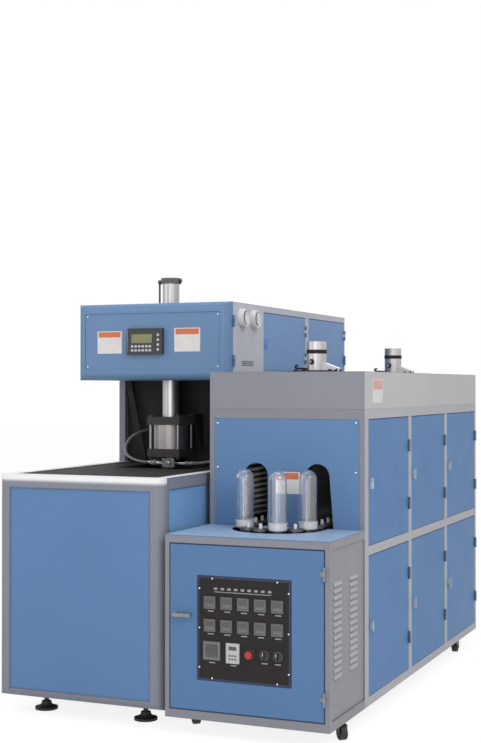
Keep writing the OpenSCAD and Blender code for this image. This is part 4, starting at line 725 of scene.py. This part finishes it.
PLATE_X, PLATE_Z, PLATE_W, PLATE_H = 378.5, 225, 386, 400
PLATE_TOP, PLATE_MIDDLE = PLATE_Z + PLATE_H, PLATE_Z + PLATE_H / 2
FACE_Y = -1168
SUNK_Y = -1172.6
METERS = [(PLATE_X + (k - 2) * 70, PLATE_Z + z) for z in (212, 300) for k in range(5)]
TIMER = (PLATE_X - 131, PLATE_Z + 115)
KEYPAD = (PLATE_X - 43, PLATE_Z + 111)
CONTROLS = [(PLATE_X + x, PLATE_Z + 112) for x in (28, 87, 142)]
TITLE_X = PLATE_X - 4


def plate_screws():
    places = []
    for x in (PLATE_X - PLATE_W / 2 + 8, PLATE_X + PLATE_W / 2 - 8):
        places += [(x, FACE_Y, PLATE_TOP - drop) for drop in (48, 200, 352)]
    for x in (PLATE_X - PLATE_W / 2 + 62, PLATE_X + PLATE_W / 2 - 54):
        places += [(x, FACE_Y, PLATE_Z + 8), (x, FACE_Y, PLATE_TOP - 8)]
    return places


def around(places, xs, zs):
    """Every place shifted by each x and each z."""
    return [(x + dx, z + dz) for x, z in places for dx in xs for dz in zs]


pan_heads("plate_screws", plate_screws(), 3.4, DOOR)
plates("meter_faces", METERS, SUNK_Y, 37.4, 37.4, 0.4, "meter_grey", DOOR, 1.2)
plates("meter_windows", around(METERS, [0], [7]), SUNK_Y - 0.4, 31, 17, 0.3, "timer_grey", DOOR)
plates("meter_digits", around(METERS, (-9, -3, 3, 9), (3.6, 10.4)), SUNK_Y - 0.7, 3.6, 1.1, 0.1,
    "digit_pale", DOOR, 0.4, 0)
plates("meter_keys", around(METERS, (-12, -4, 4, 12), [-11]), SUNK_Y - 0.4, 5.6, 4.6, 0.7, "meter_key", DOOR)
plates("meter_captions", around(METERS, [3], [-33]), FACE_Y, 26, 4.2, 0.3, "caption_pale", DOOR, 0.6, 0)

plates("timer_frame", [TIMER], SUNK_Y, 61.4, 61.4, 0.5, "frame_pale", DOOR, 2)
plates("timer_dark", [TIMER], SUNK_Y - 0.5, 54.5, 54.5, 0.2, "window_dark", DOOR, 2)
plates("timer_face", around([TIMER], [0], [5]), SUNK_Y - 0.7, 42, 34, 0.3, "timer_grey", DOOR, 1.5)
plates("timer_keys", around([TIMER], (-15, -5, 5, 15), [-19]), SUNK_Y - 0.7, 7, 5, 0.8, "grey_plastic", DOOR)

plates("drive_front", [KEYPAD], SUNK_Y, 44.6, 66.6, 1.4, "pale_plastic", DOOR, 2.5)
plates("drive_screen", around([KEYPAD], [0], [19]), SUNK_Y - 1.4, 33, 15, 0.3, "window_dark", DOOR)
plates("drive_keys", around([KEYPAD], (-12, 0, 12), (-22, -9)), SUNK_Y - 1.4, 8, 6.5, 0.9,
    "grey_plastic", DOOR, 1.2)

captions = around([TIMER], [0], [-46]) + around([KEYPAD], [2], [-47]) + around(CONTROLS[1:], [0], [-30])
plates("lower_captions", captions, FACE_Y, 25, 4.2, 0.3, "caption_pale", DOOR, 0.6, 0)
tiles = [(TITLE_X + 28 * k, PLATE_Z + 354) for k in range(-4, 5)]
plates("title_tiles", tiles, FACE_Y, 15, 9, 0.3, "title_grey", DOOR, 2, 0)
plates("title_strip", [(TITLE_X, PLATE_Z + 342)], FACE_Y, 238, 2.6, 0.3, "caption_pale", DOOR, 1, 0)


def rings(name, places, profile, finish):
    built = bmesh.new()
    for x, z in places:
        add_lathe(built, spot(x, FACE_Y, z), -Y, profile, 40, True)
    finish_piece(name, built, finish, DOOR)


STOP_RING = [(15.5, 0), (19.5, 0), (19.5, 1.4), (18.5, 2.4), (15.5, 2.4)]
SELECTOR_RING = [(8.4, 0), (19.0, 0), (19.0, 1.6), (17.6, 2.6), (8.4, 2.6)]
rings("stop_ring", CONTROLS[:1], STOP_RING, "black_plastic")
rings("selector_rings", CONTROLS[1:], SELECTOR_RING, "dark_steel")


# Pointer marks on the two selector knobs, which turn with them

KNOB_Y = -1190
for (x, z), turning in zip(CONTROLS[1:], ("selector_left_switch", "selector_right_switch")):
    mark = spot(x, KNOB_Y, z + 8)
    plate(turning + "_mark", mark, -Y, 2.2, 11, 0.3, "label_white", turning, 0.8, 0)


# Thin dark lines of painted shade: in the gaps round and above doors, round the control plate's edge and in
# the fold round the head door's recess

SHADE_LINE_T = 0.25
SHADE_LINE_CORNER = 0.2
STRIP_W = 2.4
DOOR_GAP = 2.6


def shade_line_frame(name, middle, y, width, height, line, body, finish="painted_gap_shade"):
    """Four strips of painted shade round an opening, flat on the face behind them, which looks to the front.
    """
    built = bmesh.new()
    side = height - 2 * line
    x, z = middle
    for dx, dz, w, h in ((0, 1, width, line), (0, -1, width, line), (1, 0, line, side), (-1, 0, line, side)):
        at = spot(x + dx * (width - line) / 2, y, z + dz * (height - line) / 2)
        add_block(built, w, h, SHADE_LINE_CORNER, SHADE_LINE_T, facing(at, -Y))
    finish_piece(name, built, finish, body)


def shade_lines_above_doors(name, doors, x):
    """A strip of painted shade in the gap above each side door."""
    built = bmesh.new()
    for door in doors:
        low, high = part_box(door)
        length = (high[1] - low[1]) / mm - 8
        at = spot(x, (low[1] + high[1]) / 2 / mm - 3, high[2] / mm + DOOR_GAP)
        add_block(built, length, STRIP_W, SHADE_LINE_CORNER, SHADE_LINE_T, facing(at, X))
    finish_piece(name, built, "painted_gap_shade", BASE)


def flat_span(name, y):
    """Middle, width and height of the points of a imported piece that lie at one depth."""
    piece = nodes[name]
    found = [piece.matrix_world @ v.co / mm for v in piece.data.vertices]
    xs = [p[0] for p in found if abs(p[1] - y) < 0.3]
    zs = [p[2] for p in found if abs(p[1] - y) < 0.3]
    return ((min(xs) + max(xs)) / 2, (min(zs) + max(zs)) / 2), max(xs) - min(xs), max(zs) - min(zs)


recess, recess_w, recess_h = flat_span("head_front_door", RECESS_Y)
# Painted shade: a dark blue line in the fold round the head door's recess.
shade_line_frame("head_recess_shade_line", recess, RECESS_Y, recess_w - 1, recess_h - 1, 3.2, HEAD_DOOR, "recess_shade_blue")
# Painted shade lines above the side doors, round the step door and round the control plate.
shade_lines_above_doors("oven_door_shade_lines", OVEN_DOORS, OVEN_X1)
shade_lines_above_doors("head_door_shade_lines", HEAD_DOORS, PRESS_X1)
shade_line_frame("step_door_shade_line", (OVEN_XM, 424.5), STEP_Y0, 646.5, 649.5, 3.2, BASE)
shade_line_frame("plate_gap_shade_line", (PLATE_X, PLATE_MIDDLE), STEP_Y0, PLATE_W + 7, PLATE_H + 7, 3.6, DOOR)
shade_line_frame("plate_edge_shade_line", (PLATE_X, PLATE_MIDDLE), FACE_Y, PLATE_W - 0.6, PLATE_H - 0.6, 6.4, DOOR)


# Small screws on the oven's front panel and in the corners of the head's door

OVEN_SCREWS = ((79.5, 1205), (689.5, 1212), (79.5, 1020), (688.5, 1011))
HEAD_SCREWS = [(x, z) for x in (-690, -32) for z in (1448, 1679)]
pan_heads("oven_screws", [(x, OVEN_FRONT_Y, z) for x, z in OVEN_SCREWS], 4.2, BASE)
pan_heads("head_screws", [(x, RECESS_Y, z) for x, z in HEAD_SCREWS], 3.6, HEAD_DOOR)


# Gauges: ticks round each dial and a domed glass

GAUGE_Z = 1668
GAUGES = (-350, -213)
TICKS_X = 45.05
GLASS_X = 46.2
TICK_R = 26


def dial_ticks():
    built = bmesh.new()
    for y in GAUGES:
        for k in range(11):
            a = math.radians(225 - 27 * k)
            out = Vector((0, math.cos(a), math.sin(a)))
            at = spot(TICKS_X, y, GAUGE_Z) + out * TICK_R * mm
            add_block(built, 1.2, 4 if k % 5 else 6, 0.3, 0.2, facing(at, X, out))
    finish_piece("gauge_ticks", built, "ink", BASE)


def gauge_glass():
    built = bmesh.new()
    for y in GAUGES:
        add_lathe(built, spot(GLASS_X, y, GAUGE_Z), X, [(32, 0), (31, 0.7), (22, 1.5), (0, 2)], 40)
    finish_piece("gauge_glass", built, "lens", BASE)


dial_ticks()
gauge_glass()


# Nozzle: a plug and four bolts on the front of its cross fitting

CROSS_SIDE = 62
CROSS_X, CROSS_Y, CROSS_Z = PRESS_XM, -289 - CROSS_SIDE / 2, 1005
PLUG_HEXAGON = [(0, 0), (14, 0), (14, 6), (12, 8), (0, 8)]
PLUG_TIP = [(0, 8), (7, 8), (7, 14), (5, 16), (0, 16)]
CROSS_BOLT = [(0, 0), (3, 0), (3, 2.5), (0, 2.5)]


def nozzle_plug():
    built = bmesh.new()
    add_lathe(built, spot(CROSS_X, CROSS_Y, CROSS_Z), -Y, PLUG_HEXAGON, 6)
    add_lathe(built, spot(CROSS_X, CROSS_Y, CROSS_Z), -Y, PLUG_TIP, 24)
    for dx in (5 - CROSS_SIDE / 2, CROSS_SIDE / 2 - 5):
        for dz in (4 - CROSS_SIDE / 3, CROSS_SIDE / 3 - 4):
            add_lathe(built, spot(CROSS_X + dx, CROSS_Y, CROSS_Z + dz), -Y, CROSS_BOLT, 12)
    finish_piece("nozzle_plug", built, "bright", NOZZLE)


nozzle_plug()


# Heating: ribbed ceramic holders round the lamps behind each arch

LAMP_Z = [812 + 24 * k for k in range(9)]
BANKS = (164, 600)
HOLDER_Y = -600
HOLDER = [(5.4, 0), (8.5, 0), (8.5, 14), (6.3, 17), (6.3, 30), (8.5, 33), (8.5, 60), (6.3, 63), (6.3, 76),
    (8.5, 79), (8.5, 100), (5.4, 100)]


def lamp_holders():
    built = bmesh.new()
    for x in BANKS:
        for z in LAMP_Z:
            add_lathe(built, spot(x, HOLDER_Y, z), Y, HOLDER, 24, True)
    finish_piece("lamp_holders", built, "ceramic", BASE)


lamp_holders()


# Blowers: a clamp lever on the base, bolts round the flange and a clamp knob

LEVER = ((38, 15), (52, 16), (68, 17), (82, 18), (92, 22), (90, 29), (80, 31))
LEVER_R = 4.5
CLAMP_X, CLAMP_Z = OVEN_XM - 8, ROOF + 46
CLAMP_HUB = [(0, 0), (12, 0), (12, 10), (0, 10)]
CLAMP_KNOB = [(0, 0), (5, 0), (5, 8), (7, 9), (7, 15), (0, 15)]
FLANGE_BOLT = [(0, 0), (7, 0), (7, 5), (0, 5)]
BOLT_Z = ROOF + 8.9


def blower_fittings():
    built = bmesh.new()
    for y in BLOWERS:
        lever = [spot(OVEN_XM - dx, y - 20, ROOF + dz) for dx, dz in LEVER]
        add_tube(built, smooth_route(lever, 6), LEVER_R, 12)
        add_lathe(built, spot(CLAMP_X, y - 40, CLAMP_Z), -Y, CLAMP_HUB, 24)
        for dx in (-78, 78):
            for dy in (-50, 50):
                add_lathe(built, spot(OVEN_XM + dx, y + dy, BOLT_Z), Z, FLANGE_BOLT, 6)
    finish_piece("blower_fittings", built, "paint_black", BASE)


def blower_clamps():
    built = bmesh.new()
    for y in BLOWERS:
        add_lathe(built, spot(CLAMP_X, y - 50, CLAMP_Z), -Y, CLAMP_KNOB, 24)
    finish_piece("blower_clamps", built, "latch_metal", BASE)


blower_fittings()
blower_clamps()


# Lights, floor and backdrop


def area_light(name, at, target, size, power):
    data = bpy.data.lights.new(name, "AREA")
    data.shape = "DISK"
    data.size = size
    data.energy = power
    lamp = bpy.data.objects.new(name, data)
    lamp.location = at
    lamp.rotation_euler = (Vector(target) - Vector(at)).to_track_quat("-Z", "Y").to_euler()
    bpy.context.scene.collection.objects.link(lamp)


def seen_rays(tree):
    """1 for the rays that reach the eye: straight, mirrored or through glass."""
    path = tree.nodes.new("ShaderNodeLightPath")
    total = path.outputs["Is Camera Ray"]
    for name in ("Is Glossy Ray", "Is Transmission Ray"):
        add = tree.nodes.new("ShaderNodeMath")
        add.operation = "ADD"
        add.use_clamp = True
        tree.links.new(total, add.inputs[0])
        tree.links.new(path.outputs[name], add.inputs[1])
        total = add.outputs["Value"]
    return total


def add_node(tree, kind, **inputs):
    made = tree.nodes.new(kind)
    for name, value in inputs.items():
        made.inputs[name].default_value = value
    return made


def show_mix(tree, output, share, first, second):
    """Sends a mix of two shaders to a tree's output."""
    mix = tree.nodes.new("ShaderNodeMixShader")
    tree.links.new(share, mix.inputs["Fac"])
    tree.links.new(first.outputs[0], mix.inputs[1])
    tree.links.new(second.outputs[0], mix.inputs[2])
    tree.links.new(mix.outputs["Shader"], tree.nodes.new(output).inputs["Surface"])


def make_world():
    """Even pale light on the object, and plain white for the camera and in metal and glass."""
    world = bpy.data.worlds.new("studio")
    bpy.context.scene.world = world
    world.use_nodes = True
    tree = world.node_tree
    tree.nodes.clear()
    soft = add_node(tree, "ShaderNodeBackground", Color=(0.96, 0.98, 1.0, 1), Strength=0.50)
    white = add_node(tree, "ShaderNodeBackground", Color=(1, 1, 1, 1), Strength=1.0)
    show_mix(tree, "ShaderNodeOutputWorld", seen_rays(tree), soft, white)


FLOOR_REACH = 30.0
FLOOR_WHITE = 1.20
FLOOR_SHARE = 0.72


def make_floor():
    """A pale floor that shows nearly white and still takes the object's shadow."""
    built = bmesh.new()
    corners = [(x * FLOOR_REACH, y * FLOOR_REACH, 0) for x, y in ((-1, -1), (1, -1), (1, 1), (-1, 1))]
    built.faces.new([built.verts.new(corner) for corner in corners])
    mesh = bpy.data.meshes.new("floor")
    built.to_mesh(mesh)
    built.free()
    floor = bpy.data.objects.new("floor", mesh)
    bpy.context.scene.collection.objects.link(floor)
    material = bpy.data.materials.new("floor")
    material.use_nodes = True
    tree = material.node_tree
    tree.nodes.clear()
    matt = add_node(tree, "ShaderNodeBsdfDiffuse", Color=(0.86, 0.86, 0.86, 1))
    white = add_node(tree, "ShaderNodeEmission", Color=(1, 1, 1, 1), Strength=FLOOR_WHITE)
    share = add_node(tree, "ShaderNodeMath")
    share.operation = "MULTIPLY"
    share.inputs[1].default_value = FLOOR_SHARE
    tree.links.new(seen_rays(tree), share.inputs[0])
    show_mix(tree, "ShaderNodeOutputMaterial", share.outputs["Value"], matt, white)
    mesh.materials.append(material)


make_world()
make_floor()
area_light("key", (4.4, -4.2, 4.6), (0, -0.3, 0.9), 3.0, 130)
area_light("fill", (-4.5, -4.0, 3.0), (-0.3, -0.3, 1.0), 3.5, 45)
area_light("front", (0.9, -6.6, 1.1), (0, -0.6, 0.9), 3.0, 68)
area_light("top", (0.4, 0.2, 5.5), (0, 0, 1.0), 3.5, 60)
area_light("back", (-2.5, 5.6, 3.4), (0, 0.8, 1.0), 3.5, 70)
area_light("oven_left", (0.262, -0.60, 0.93), (0.16, -0.56, 0.92), 0.10, 0.040)
area_light("oven_right", (0.520, -0.60, 1.10), (0.60, -0.45, 0.92), 0.12, 0.13)
bpy.context.scene.view_settings.view_transform = "Standard"
